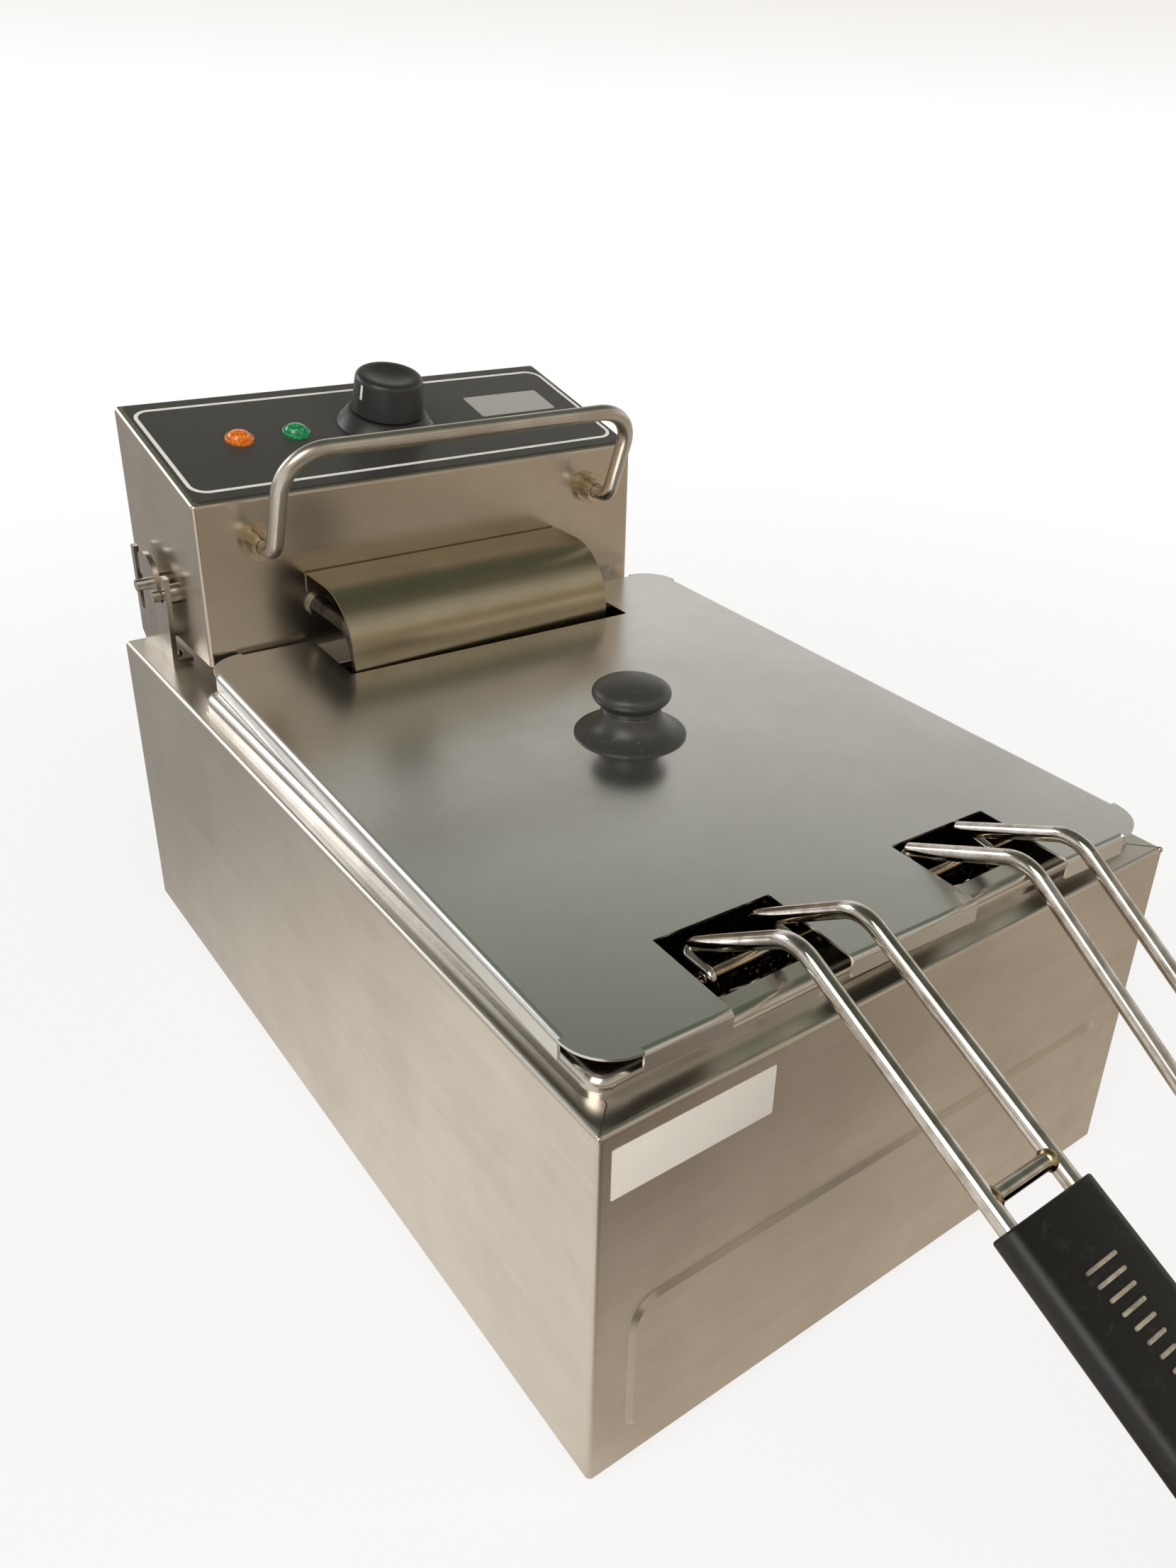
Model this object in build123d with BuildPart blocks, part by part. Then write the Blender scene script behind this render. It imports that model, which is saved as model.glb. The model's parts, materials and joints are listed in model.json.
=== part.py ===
from build123d import *
import os
from math import atan2, cos, degrees, radians, sin, sqrt, tan

# Countertop deep fryer: casing, oil tank, lid, two baskets and a tilting electric head.
# Millimetres, +Z up, the front towards -Y. The origin lies on the table, under the middle
# of the whole width and depth.

os.makedirs("parts", exist_ok=True)

# Clearances
slide_gap = 0.3
pin_gap = 0.1
shaft_gap = 0.05
hole_gap = 0.2

# Casing
casing_width = 280.0
casing_depth = 425.0
casing_height = 154.0
casing_sheet = 1.0
casing_bend = 2.0
rear_ledge = 18.5
rear_flange = 16.0
bottom_flange = 40.0
field_margin = 14.5
field_low = 10.0
field_height = 66.0
field_rise = 1.5
field_slope = 2.0
field_corner = 12.0
vent_count = 9
vent_pitch = 20.0
vent_width = 5.0
vent_height = 50.0

# Feet
foot_height = 8.0
foot_diameter = 24.0
foot_taper = 8.0
foot_inset = 24.0
foot_screw = 4.0
foot_screw_head = 9.0
foot_head_height = 3.0
foot_nut = 7.0
foot_nut_height = 3.2

# Tank
tank_side_margin = 5.0
tank_front_margin = 9.5
tank_head_gap = 14.7
tank_sheet = 1.0
tank_floor_height = 18.0
tank_bottom_radius = 9.0
tank_corner = 14.5
rim_height = 7.7
rim_width = 12.3
rim_bend = 4.5
rim_corner = 9.0
roll_reach = 1.2
roll_height = 1.4

# Lid
lid_side_margin = 8.0
lid_front_margin = 4.0
lid_head_gap = 5.5
lid_sheet = 1.0
lid_flange = 8.0
lid_bend = 2.5
lid_corner = 18.5
notch_width = 50.0
notch_depth = 43.2
lid_turn = -1.7
cutout_side_gap = 6.0
cutout_front_gap = 3.5

# Lid knob
knob_base_diameter = 49.0
knob_base_height = 11.6
knob_base_edge = 0.8
knob_neck = 26.3
knob_cap = 34.4
knob_height = 25.0
knob_cap_rise = 8.0
lid_knob_setback = 171.5
lid_screw = 5.0
lid_screw_head = 10.0
lid_screw_head_height = 1.2
lid_screw_reach = 18.0

# Head
head_inset = 17.3
head_depth = 101.0
head_overhang = 22.0
head_gap = 11.0
head_front_height = 79.0
head_back_height = 104.0
head_sheet = 1.0
head_bend = 2.0
head_rear_flange = 12.0
cover_sheet = 1.0
screw_diameter = 4.0
screw_head = 7.5
screw_head_height = 2.4
screw_reach = 6.0
screw_head_taper = 20.0

# Control panel
overlay_margin = 2.5
overlay_thickness = 0.5
overlay_corner = 3.0
plate_width = 47.0
plate_height = 23.0
plate_thickness = 0.4
plate_inset = 43.2
plate_setback = 57.5
lamp_diameter = 14.0
lamp_rim_height = 2.0
lamp_lens = 12.0
lamp_lens_height = 5.0
lamp_lens_taper = 30.0
lamp_stem = 10.0
lamp_stem_reach = 8.0
lamp_body_diameter = 15.0
lamp_body_length = 22.0
lamp_setback = 53.0
power_lamp_inset = 44.2
lamp_spacing = 29.5
dial_setback = 51.0
dial_diameter = 51.0
dial_top = 39.0
dial_height = 8.0
dial_bore = 16.0
dial_knob_diameter = 37.0
dial_knob_top = 34.5
dial_knob_height = 19.5
dial_knob_gap = 0.5
dial_knob_dish = 26.0
dial_dish_depth = 1.0
dial_dish_slope = 45.0
shaft_diameter = 6.0
shaft_inset = 4.0
bushing_diameter = 10.0
bushing_rise = 6.0

# Thermostat, limit switch and terminals inside the head
thermostat_width = 40.0
thermostat_length = 34.0
thermostat_depth = 20.0
capillary = 2.0
capillary_bend = 9.0
capillary_drop = 17.0
capillary_setback = 46.0
capillary_leg_gap = 5.0
bulb_diameter = 6.0
bulb_length = 115.0
bulb_x = 13.0
bulb_front = 78.0
limit_width = 30.0
limit_setback = 52.0
limit_edge = 5.0
limit_length = 26.0
limit_height = 24.0
terminal_inset = 44.7
terminal_setback = 66.0
terminal_width = 44.0
terminal_length = 18.0
terminal_height = 20.0
terminal_poles = 3
terminal_well = 6.0
terminal_well_depth = 8.0
gland_inset = 32.7
gland_height = 32.0
gland_thread = 16.0
gland_flange = 24.0
gland_flange_height = 5.0
gland_dome = 19.0
gland_reach = 14.0
gland_bore = 9.0
gland_nut_height = 5.0
gland_taper = 15.0

# Heating element
element_diameter = 8.0
element_lift = 9.0
element_inner_x = 24.0
element_middle_x = 66.0
element_side_gap = 18.7
element_front = 53.2
element_shoulder = 203.2
element_heel = 240.2
element_bend = 14.0
element_front_bend = 38.0
element_leg_setback = 43.0
element_leg_drop = 21.0
element_tail = 8.0
element_nut = 13.0
element_nut_height = 5.0
element_collar = 13.0
element_collar_height = 3.0
support_thickness = 1.5
support_overhang = 8.0
support_rise = 7.0
support_places = (100.0, 178.0)

# Element cover
cover_width = 144.0
cover_reach = 51.0
cover_rise = 39.0
cover_length_down = 54.0
cover_round = 30.0
cover_tab = 10.0
cover_screw_spacing = 45.0
cover_screw_drop = 6.0

# Lift handle
handle_rod = 8.0
handle_inset = 28.7
handle_height = 58.0
handle_reach = 20.0
handle_lean = 20.5
handle_rise = 51.0
handle_low_bend = 10.0
handle_top_bend = 21.0
handle_tail = 9.0
handle_nut = 13.0
handle_nut_height = 6.0
boss_flange = 17.0
boss_flange_height = 3.0
boss_sleeve = 12.0
boss_length = 9.0

# Head hinge
pin_diameter = 6.0
pin_setback = 63.0
pin_height = 24.0
pin_spacing = 20.0
pin_tip = 5.5
stop_tip = 4.0
pin_collar = 10.0
pin_nut = 10.0
pin_nut_height = 5.0
bracket_inset = 10.5
bracket_sheet = 2.5
bracket_flange = 10.0
bracket_post = 6.0
bracket_post_rise = 11.0
bracket_lean = 3.0
bracket_lobe = 16.3
bracket_slot_offset = 12.0
bracket_slot_drop = 14.0
bracket_rear_post = 4.7
bracket_rear_rise = 15.0
bracket_cut = 4.0
rivet_diameter = 2.8
rivet_head = 5.5
rivet_head_height = 1.6
rivet_tail = 4.6
rivet_tail_height = 1.2
rivet_spacing = 24.0
rivet_setback = 5.0
rivet_taper = 30.0

# Baskets
basket_side_gap = 15.7
basket_middle_gap = 6.0
basket_front_gap = 10.2
basket_back_gap = 33.0
basket_drop = 2.2
basket_depth = 97.5
basket_wire = 5.0
basket_post = 4.0
basket_corner = 10.0
mesh_wire = 2.0
mesh_pitch = 15.0

# Basket handles
grip_rod = 6.0
grip_rod_spacing = 28.0
rod_end_setback = 9.5
rod_end_rise = 6.6
rod_rear_slope = 33.5
rod_front_slope = 25.2
rod_bend = 15.0
bend_reach = 1.2
rod_front_run = 96.8
rod_in_grip = 30.0
bar_diameter = 5.0
bar_before_grip = 8.6
hook_wire = 4.0
hook_spread = 4.0
hook_bend = 2.0
hook_fall = 7.0
grip_edge = 5.5
grip_length = 138.3
grip_rib_count = 9
grip_rib_pitch = 4.07
grip_rib_length = 12.9
grip_rib_shrink = 1.05
grip_rib_width = 1.2
grip_rib_rise = 0.6
grip_rib_start = 18.8
left_handle_shift = -1.3
right_handle_shift = -7.5
left_handle_tilt = 0.0
right_handle_tilt = 9.0

# Heights above the table
ledge_z = foot_height + casing_height
rim_z = ledge_z + rim_height
tank_floor_z = foot_height + tank_floor_height
lid_seat_z = rim_z + slide_gap
lid_top_z = lid_seat_z + lid_flange
head_bottom_z = ledge_z + head_gap
head_floor_z = head_bottom_z + head_sheet
panel_front_z = head_bottom_z + head_front_height
pin_z = head_bottom_z + pin_height
element_z = tank_floor_z + element_lift
cover_top_z = head_bottom_z + cover_rise
leg_z = head_bottom_z + element_leg_drop
capillary_z = head_bottom_z + capillary_drop
basket_top_z = rim_z - basket_drop
basket_floor_z = basket_top_z - basket_depth

# Places along the depth: the whole depth is centred on the origin
slope_front = radians(rod_front_slope)
slope_rear = radians(rod_rear_slope)
grip_thickness = 2 * grip_edge
grip_tip = bend_reach + (rod_front_run + grip_length) * cos(slope_front) + grip_edge * sin(slope_front)
back_reach = casing_depth + head_overhang + gland_reach
front_y = (grip_tip - back_reach) / 2
back_y = front_y + casing_depth
casing_mid_y = front_y + casing_depth / 2
head_back_y = back_y + head_overhang
head_front_y = head_back_y - head_depth
head_cover_y = head_back_y - cover_sheet
lip_front_y = front_y + tank_front_margin
lip_back_y = head_front_y - tank_head_gap
tank_front_y = lip_front_y + rim_width
tank_back_y = lip_back_y - rim_width
lid_front_y = front_y + lid_front_margin
lid_back_y = head_front_y - lid_head_gap
cover_front_y = head_front_y - cover_reach
leg_y = head_front_y - element_leg_setback
basket_front_y = tank_front_y + basket_front_gap
basket_back_y = cover_front_y - basket_back_gap
pin_y = head_front_y + pin_setback
stop_y = pin_y - pin_spacing

# Widths and half widths
lip_width = casing_width - 2 * tank_side_margin
tank_width = lip_width - 2 * rim_width
tank_length = tank_back_y - tank_front_y
lip_length = lip_back_y - lip_front_y
lip_mid_y = (lip_front_y + lip_back_y) / 2
lid_width = casing_width - 2 * lid_side_margin
lid_length = lid_back_y - lid_front_y
lid_mid_y = (lid_front_y + lid_back_y) / 2
head_width = casing_width - 2 * head_inset
head_half = head_width / 2
plate_x = head_half - plate_inset
power_lamp_x = power_lamp_inset - head_half
heating_lamp_x = power_lamp_x + lamp_spacing
terminal_x = head_half - terminal_inset
gland_x = head_half - gland_inset
handle_x = head_half - handle_inset
element_outer_x = tank_width / 2 - element_side_gap
bracket_face = casing_width / 2 - bracket_inset
basket_width = (tank_width - 2 * basket_side_gap - basket_middle_gap) / 2
basket_centre = (basket_width + basket_middle_gap) / 2
basket_length = basket_back_y - basket_front_y
basket_mid_y = (basket_front_y + basket_back_y) / 2

# The slanted control panel: its plane starts at the upper front edge of the head
panel_rise = head_back_height - head_front_height
panel_slope = atan2(panel_rise, head_depth)
panel_length = head_depth / cos(panel_slope)
panel_up = (0, -sin(panel_slope), cos(panel_slope))
panel = Plane(origin=(0, head_front_y, panel_front_z), x_dir=(1, 0, 0), z_dir=panel_up)
panel_under = panel.offset(-head_sheet)
panel_face = panel.offset(overlay_thickness)


def on_panel(x, setback):
    """Return a place on the panel from its setback behind the head's front."""
    return (x, setback / cos(panel_slope))


dial_place = on_panel(0, dial_setback)
power_place = on_panel(power_lamp_x, lamp_setback)
heating_place = on_panel(heating_lamp_x, lamp_setback)

# Shared hole sizes
screw_hole = screw_diameter / 2 + hole_gap
pin_hole = pin_diameter / 2 + hole_gap
element_hole = element_diameter / 2 + hole_gap
handle_hole = handle_rod / 2 + hole_gap
capillary_hole = capillary / 2 + hole_gap
rivet_hole = rivet_diameter / 2 + hole_gap
foot_hole = foot_screw / 2 + hole_gap
lamp_hole = lamp_stem / 2 + hole_gap
bushing_hole = bushing_diameter / 2 + hole_gap

# Shared places
foot_x = casing_width / 2 - foot_inset
foot_places = [(x, y) for x in (-foot_x, foot_x) for y in (front_y + foot_inset, back_y - foot_inset)]
rivet_x = bracket_face - bracket_sheet - rivet_head / 2 - hole_gap
rivet_mid_y = pin_y - rivet_setback
rivet_places = [
    (x, rivet_mid_y + step)
    for x in (-rivet_x, rivet_x)
    for step in (-rivet_spacing / 2, rivet_spacing / 2)
]
leg_places = [(x, leg_z) for x in (-element_middle_x, -element_inner_x, element_inner_x, element_middle_x)]
boss_z = head_bottom_z + handle_height
boss_places = [(-handle_x, boss_z), (handle_x, boss_z)]
cover_screw_z = cover_top_z - cover_screw_drop
cover_screw_places = [(step * cover_screw_spacing, cover_screw_z) for step in (-1, 0, 1)]
capillary_places = [(-bulb_x, capillary_z), (bulb_x, capillary_z)]
back_top_z = head_bottom_z + head_back_height
cover_hole_inset = head_rear_flange / 2
back_screw_places = [
    (x, z)
    for x in (cover_hole_inset - head_half, 0, head_half - cover_hole_inset)
    for z in (back_top_z - head_rear_flange, head_bottom_z + head_rear_flange)
    if x or z > head_bottom_z + head_rear_flange
]
panel_screw_x = casing_width / 2 - rear_flange / 2
panel_screw_z = (foot_height + rear_flange, ledge_z - rear_flange)
panel_screw_places = [(x, z) for x in (-panel_screw_x, panel_screw_x) for z in panel_screw_z]

# Upright planes that face the front, by their place along the depth
front_plane = Plane.XZ.offset(-front_y)
head_front_plane = Plane.XZ.offset(-head_front_y)
head_inside_plane = Plane.XZ.offset(-(head_front_y + head_sheet))


def keep(piece, name):
    """Label a finished piece and write it to a file of its own."""
    piece.part.label = name
    export_step(piece.part, f"parts/{name}.step")


def rod(points, bends, diameter):
    """Add a round rod along straight runs joined by arcs to the open part."""
    with BuildLine() as path:
        FilletPolyline(*points, radius=bends)
    start = Plane(origin=path.line @ 0, z_dir=path.line % 0)
    with BuildSketch(start) as section:
        Circle(diameter / 2)
    sweep(sections=section.sketch, path=path.line)


# Casing wrap: front, sides, ledge and flanges bent from one sheet
with BuildPart() as casing_wrap:
    with BuildSketch(Plane.XY.offset(foot_height)):
        with Locations((0, casing_mid_y)):
            Rectangle(casing_width, casing_depth)
    extrude(amount=casing_height)
    front_corners = casing_wrap.edges().filter_by(Axis.Z).group_by(Axis.Y)[0]
    fillet(front_corners, radius=casing_bend)
    top_edges = casing_wrap.faces().sort_by(Axis.Z)[-1].edges().sort_by(Axis.Y)[:-1]
    fillet(top_edges, radius=casing_bend)
    with BuildSketch(Plane.XY.offset(foot_height + casing_sheet)):
        with Locations((0, casing_mid_y)):
            Rectangle(casing_width - 2 * casing_sheet, casing_depth - 2 * casing_sheet)
    extrude(amount=casing_height - 2 * casing_sheet, mode=Mode.SUBTRACT)
    with BuildSketch(Plane.XY.offset(ledge_z - casing_sheet)):
        tank_opening = tank_width + 2 * (tank_sheet + slide_gap)
        tank_opening_length = tank_length + 2 * (tank_sheet + slide_gap)
        with Locations((0, lip_mid_y)):
            Rectangle(tank_opening, tank_opening_length)
        with Locations((0, (tank_back_y + back_y - casing_sheet) / 2)):
            Rectangle(casing_width - 2 * rear_ledge, back_y - casing_sheet - tank_back_y)
    extrude(amount=casing_sheet, mode=Mode.SUBTRACT)
    with BuildSketch(Plane.XY.offset(foot_height)):
        with Locations((0, casing_mid_y)):
            Rectangle(casing_width - 2 * bottom_flange, casing_depth - 2 * bottom_flange)
    extrude(amount=casing_sheet, mode=Mode.SUBTRACT)
    with BuildSketch(Plane.XZ.offset(-back_y)):
        with Locations((0, foot_height + casing_height / 2)):
            Rectangle(casing_width - 2 * rear_flange, casing_height - 2 * rear_flange)
        with Locations(*panel_screw_places):
            Circle(screw_hole)
    extrude(amount=casing_sheet, mode=Mode.SUBTRACT)
    with BuildSketch(Plane.XY.offset(foot_height)):
        with Locations(*foot_places):
            Circle(foot_hole)
    extrude(amount=casing_sheet, mode=Mode.SUBTRACT)
    with BuildSketch(Plane.XY.offset(ledge_z - casing_sheet)):
        with Locations(*rivet_places):
            Circle(rivet_hole)
    extrude(amount=casing_sheet, mode=Mode.SUBTRACT)
    field_width = casing_width - 2 * field_margin
    field_z = foot_height + field_low + field_height / 2
    with BuildSketch(front_plane):
        with Locations((0, field_z)):
            RectangleRounded(field_width, field_height, field_corner)
    with BuildSketch(front_plane.offset(field_rise)):
        with Locations((0, field_z)):
            RectangleRounded(
                field_width - 2 * field_slope, field_height - 2 * field_slope, field_corner - field_slope
            )
    loft()
keep(casing_wrap, "casing_wrap")

# Back panel with vent slots, inside the rear flanges
with BuildPart() as back_panel:
    with BuildSketch(Plane.XZ.offset(casing_sheet - back_y)):
        with Locations((0, foot_height + casing_height / 2)):
            Rectangle(
                casing_width - 2 * (casing_sheet + hole_gap), casing_height - 4 * (casing_sheet + hole_gap)
            )
            with GridLocations(vent_pitch, 0, vent_count, 1):
                SlotOverall(vent_height, vent_width, rotation=90, mode=Mode.SUBTRACT)
        with Locations(*panel_screw_places):
            Circle(screw_hole, mode=Mode.SUBTRACT)
    extrude(amount=casing_sheet)
keep(back_panel, "back_panel")

with BuildPart() as back_panel_screws:
    with BuildSketch(Plane.XZ.offset(-back_y)):
        with Locations(*panel_screw_places):
            Circle(screw_head / 2)
    extrude(amount=-screw_head_height, taper=screw_head_taper)
    with BuildSketch(Plane.XZ.offset(-back_y)):
        with Locations(*panel_screw_places):
            Circle(screw_diameter / 2)
    extrude(amount=screw_reach)
keep(back_panel_screws, "back_panel_screws")

# Base plate, on the bottom flanges
with BuildPart() as base_plate:
    with BuildSketch(Plane.XY.offset(foot_height + casing_sheet)):
        with Locations((0, casing_mid_y)):
            Rectangle(
                casing_width - 2 * (casing_sheet + hole_gap),
                casing_depth - 2 * (2 * casing_sheet + 2 * hole_gap),
            )
        with Locations(*foot_places):
            Circle(foot_hole, mode=Mode.SUBTRACT)
    extrude(amount=casing_sheet)
keep(base_plate, "base_plate")

# Rubber feet with their screws in a counterbore
with BuildPart() as rubber_feet:
    with BuildSketch(Plane.XY.offset(foot_height)):
        with Locations(*foot_places):
            Circle(foot_diameter / 2)
    extrude(amount=-foot_height, taper=foot_taper)
    with BuildSketch(Plane.XY):
        with Locations(*foot_places):
            Circle(foot_screw_head / 2 + hole_gap)
    extrude(amount=foot_height / 2, mode=Mode.SUBTRACT)
    with BuildSketch(Plane.XY):
        with Locations(*foot_places):
            Circle(foot_hole)
    extrude(amount=foot_height, mode=Mode.SUBTRACT)
keep(rubber_feet, "rubber_feet")

with BuildPart() as foot_screws:
    head_seat = foot_height / 2
    nut_seat = foot_height + 2 * casing_sheet
    with BuildSketch(Plane.XY.offset(head_seat)):
        with Locations(*foot_places):
            Circle(foot_screw_head / 2)
    extrude(amount=-foot_head_height)
    with BuildSketch(Plane.XY.offset(head_seat)):
        with Locations(*foot_places):
            Circle(foot_screw / 2)
    extrude(amount=nut_seat - head_seat + foot_nut_height)
    with BuildSketch(Plane.XY.offset(nut_seat)):
        with Locations(*foot_places):
            RegularPolygon(foot_nut / 2, 6, major_radius=False)
    extrude(amount=foot_nut_height)
keep(foot_screws, "foot_screws")

# Rear deck, a plate under the ledges behind the tank
deck_front_y = tank_back_y + tank_sheet + slide_gap
deck_back_y = back_y - 2 * (casing_sheet + hole_gap)
with BuildPart() as rear_deck:
    with BuildSketch(Plane.XY.offset(ledge_z - casing_sheet)):
        with Locations((0, (deck_front_y + deck_back_y) / 2)):
            Rectangle(casing_width - 2 * (casing_sheet + hole_gap), deck_back_y - deck_front_y)
        with Locations(*rivet_places):
            Circle(rivet_hole, mode=Mode.SUBTRACT)
    extrude(amount=-casing_sheet)
keep(rear_deck, "rear_deck")

# Hinge brackets: a notch for the stop pin and a hooked slot for the pivot pin
pin_seat = pin_diameter / 2 + pin_gap
notch_half = pin_diameter / 2 + slide_gap
post_back_y = stop_y - notch_half
post_front_y = post_back_y - bracket_post
slot_y = pin_y + bracket_slot_offset
slot_back_y = slot_y + pin_seat
bracket_back_y = slot_back_y + bracket_rear_post
for side, hand in (("left", -1), ("right", 1)):
    with BuildPart() as hinge_bracket:
        with BuildSketch(Plane.YZ.offset(hand * bracket_face)):
            with BuildLine():
                Polyline(
                    (post_front_y + bracket_lean, ledge_z),
                    (post_front_y, pin_z + bracket_post_rise),
                    (post_back_y, pin_z + bracket_post_rise),
                    (post_back_y, pin_z),
                    (slot_back_y, pin_z),
                    (slot_back_y, pin_z + bracket_rear_rise),
                    (bracket_back_y, pin_z + bracket_rear_rise),
                    (bracket_back_y, ledge_z + bracket_cut),
                    (bracket_back_y - bracket_rear_post, ledge_z),
                    close=True,
                )
            make_face()
            with Locations((pin_y, pin_z)):
                Circle(bracket_lobe)
            with Locations((stop_y, pin_z + bracket_post_rise / 2)):
                Rectangle(2 * notch_half, bracket_post_rise + 2 * notch_half, mode=Mode.SUBTRACT)
            slot_top_z = pin_z + bracket_lobe + bracket_rear_rise
            slot_low_z = pin_z - bracket_slot_drop
            with Locations((slot_y, slot_low_z)):
                Circle(pin_seat, mode=Mode.SUBTRACT)
            with Locations((slot_y, (slot_top_z + slot_low_z) / 2)):
                Rectangle(2 * pin_seat, slot_top_z - slot_low_z, mode=Mode.SUBTRACT)
            with Locations((pin_y, pin_z)):
                Circle(pin_seat, mode=Mode.SUBTRACT)
            with Locations((pin_y + bracket_slot_offset / 2, pin_z)):
                Rectangle(bracket_slot_offset, 2 * pin_seat, mode=Mode.SUBTRACT)
        extrude(amount=-hand * bracket_sheet)
        flange_y = (post_front_y + bracket_lean + bracket_back_y - bracket_rear_post) / 2
        flange_length = bracket_back_y - bracket_rear_post - post_front_y - bracket_lean
        with BuildSketch(Plane.XY.offset(ledge_z)):
            with Locations((hand * (bracket_face - bracket_flange / 2), flange_y)):
                Rectangle(bracket_flange, flange_length)
            with Locations(*rivet_places):
                Circle(rivet_hole, mode=Mode.SUBTRACT)
        extrude(amount=bracket_sheet)
    keep(hinge_bracket, f"hinge_bracket_{side}")

with BuildPart() as bracket_rivets:
    rivet_top_z = ledge_z + bracket_sheet
    rivet_low_z = ledge_z - 2 * casing_sheet
    with BuildSketch(Plane.XY.offset(rivet_low_z)):
        with Locations(*rivet_places):
            Circle(rivet_diameter / 2)
    extrude(amount=rivet_top_z - rivet_low_z)
    with BuildSketch(Plane.XY.offset(rivet_top_z)):
        with Locations(*rivet_places):
            Circle(rivet_head / 2)
    extrude(amount=rivet_head_height, taper=rivet_taper)
    with BuildSketch(Plane.XY.offset(rivet_low_z)):
        with Locations(*rivet_places):
            Circle(rivet_tail / 2)
    extrude(amount=-rivet_tail_height)
keep(bracket_rivets, "bracket_rivets")

# Oil tank: a drawn pan whose lip stands on the ledge
with BuildPart() as tank_inside:
    with BuildSketch(Plane.XY.offset(tank_floor_z)):
        with Locations((0, lip_mid_y)):
            RectangleRounded(tank_width, tank_length, tank_corner)
    extrude(amount=rim_z - tank_floor_z)
    fillet(tank_inside.faces().sort_by(Axis.Z)[0].edges(), radius=tank_bottom_radius)

rim_outer = lip_width - 2 * roll_reach
rim_outer_length = lip_length - 2 * roll_reach
with BuildPart() as rim_hollow:
    with BuildSketch(Plane.XY.offset(ledge_z)):
        with Locations((0, lip_mid_y)):
            RectangleRounded(
                rim_outer - 2 * tank_sheet,
                rim_outer_length - 2 * tank_sheet,
                rim_corner - roll_reach - tank_sheet,
            )
    extrude(amount=rim_height - tank_sheet)
    fillet(rim_hollow.faces().sort_by(Axis.Z)[-1].edges(), radius=rim_bend - tank_sheet)
    with BuildSketch(Plane.XY.offset(ledge_z)):
        with Locations((0, lip_mid_y)):
            RectangleRounded(
                tank_width + 2 * tank_sheet, tank_length + 2 * tank_sheet, tank_corner + tank_sheet
            )
    extrude(amount=rim_height, mode=Mode.SUBTRACT)

with BuildPart() as tank:
    with BuildSketch(Plane.XY.offset(tank_floor_z - tank_sheet)):
        with Locations((0, lip_mid_y)):
            RectangleRounded(
                tank_width + 2 * tank_sheet, tank_length + 2 * tank_sheet, tank_corner + tank_sheet
            )
    extrude(amount=rim_z - tank_floor_z + tank_sheet)
    fillet(tank.faces().sort_by(Axis.Z)[0].edges(), radius=tank_bottom_radius + tank_sheet)
    with BuildSketch(Plane.XY.offset(ledge_z)):
        with Locations((0, lip_mid_y)):
            RectangleRounded(rim_outer, rim_outer_length, rim_corner - roll_reach)
    extrude(amount=rim_height)
    fillet(tank.faces().sort_by(Axis.Z)[-1].outer_wire().edges(), radius=rim_bend)
    with BuildSketch(Plane.XY.offset(ledge_z)):
        with Locations((0, lip_mid_y)):
            RectangleRounded(lip_width, lip_length, rim_corner)
    extrude(amount=roll_height)
    add(tank_inside.part, mode=Mode.SUBTRACT)
    add(rim_hollow.part, mode=Mode.SUBTRACT)
keep(tank, "tank")

# Head shell, open below and closed by a cover behind
panel_drop = head_sheet / cos(panel_slope)
inside_back_y = head_cover_y - head_sheet
inside_front_z = panel_front_z + panel_rise * head_sheet / head_depth - panel_drop
inside_rise = (inside_back_y - head_front_y) / head_depth * panel_rise
inside_back_z = panel_front_z + inside_rise - panel_drop
cover_rise_z = (head_cover_y - head_front_y) / head_depth * panel_rise
with BuildPart() as head_shell:
    with BuildSketch(Plane.YZ):
        with BuildLine():
            Polyline(
                (head_front_y, head_bottom_z),
                (head_front_y, panel_front_z),
                (head_cover_y, panel_front_z + cover_rise_z),
                (head_cover_y, head_bottom_z),
                close=True,
            )
        make_face()
    extrude(amount=head_half, both=True)
    upright = head_shell.edges().filter_by(Axis.Z).group_by(Axis.Y)[0]
    fillet(upright, radius=head_bend)
    panel_edges = head_shell.faces().sort_by(Axis.Z)[-1].edges().sort_by(Axis.Y)[:-1]
    fillet(panel_edges, radius=head_bend)
    with BuildSketch(Plane.YZ):
        with BuildLine():
            Polyline(
                (head_front_y + head_sheet, head_bottom_z),
                (head_front_y + head_sheet, inside_front_z),
                (inside_back_y, inside_back_z),
                (inside_back_y, head_bottom_z),
                close=True,
            )
        make_face()
    extrude(amount=head_half - head_sheet, both=True, mode=Mode.SUBTRACT)
    with BuildSketch(Plane.XZ.offset(-head_cover_y)):
        opening_height = head_back_height - 2 * head_rear_flange
        with Locations((0, head_bottom_z + opening_height / 2)):
            Rectangle(head_width - 2 * head_rear_flange, opening_height)
        with Locations(*back_screw_places):
            Circle(screw_hole)
    extrude(amount=head_sheet, mode=Mode.SUBTRACT)
    with BuildSketch(panel):
        with Locations(power_place, heating_place):
            Circle(lamp_hole)
        with Locations(dial_place):
            Circle(bushing_hole)
    extrude(amount=-2 * head_sheet, mode=Mode.SUBTRACT)
    with BuildSketch(head_front_plane):
        with Locations(*leg_places):
            Circle(element_hole)
        with Locations(*boss_places):
            Circle(handle_hole)
        with Locations(*cover_screw_places):
            Circle(screw_hole)
        with Locations(*capillary_places):
            Circle(capillary_hole)
    extrude(amount=-head_sheet, mode=Mode.SUBTRACT)
    with BuildSketch(Plane.YZ):
        with Locations((pin_y, pin_z), (stop_y, pin_z)):
            Circle(pin_hole)
    extrude(amount=head_width, both=True, mode=Mode.SUBTRACT)
keep(head_shell, "head_shell")

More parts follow.
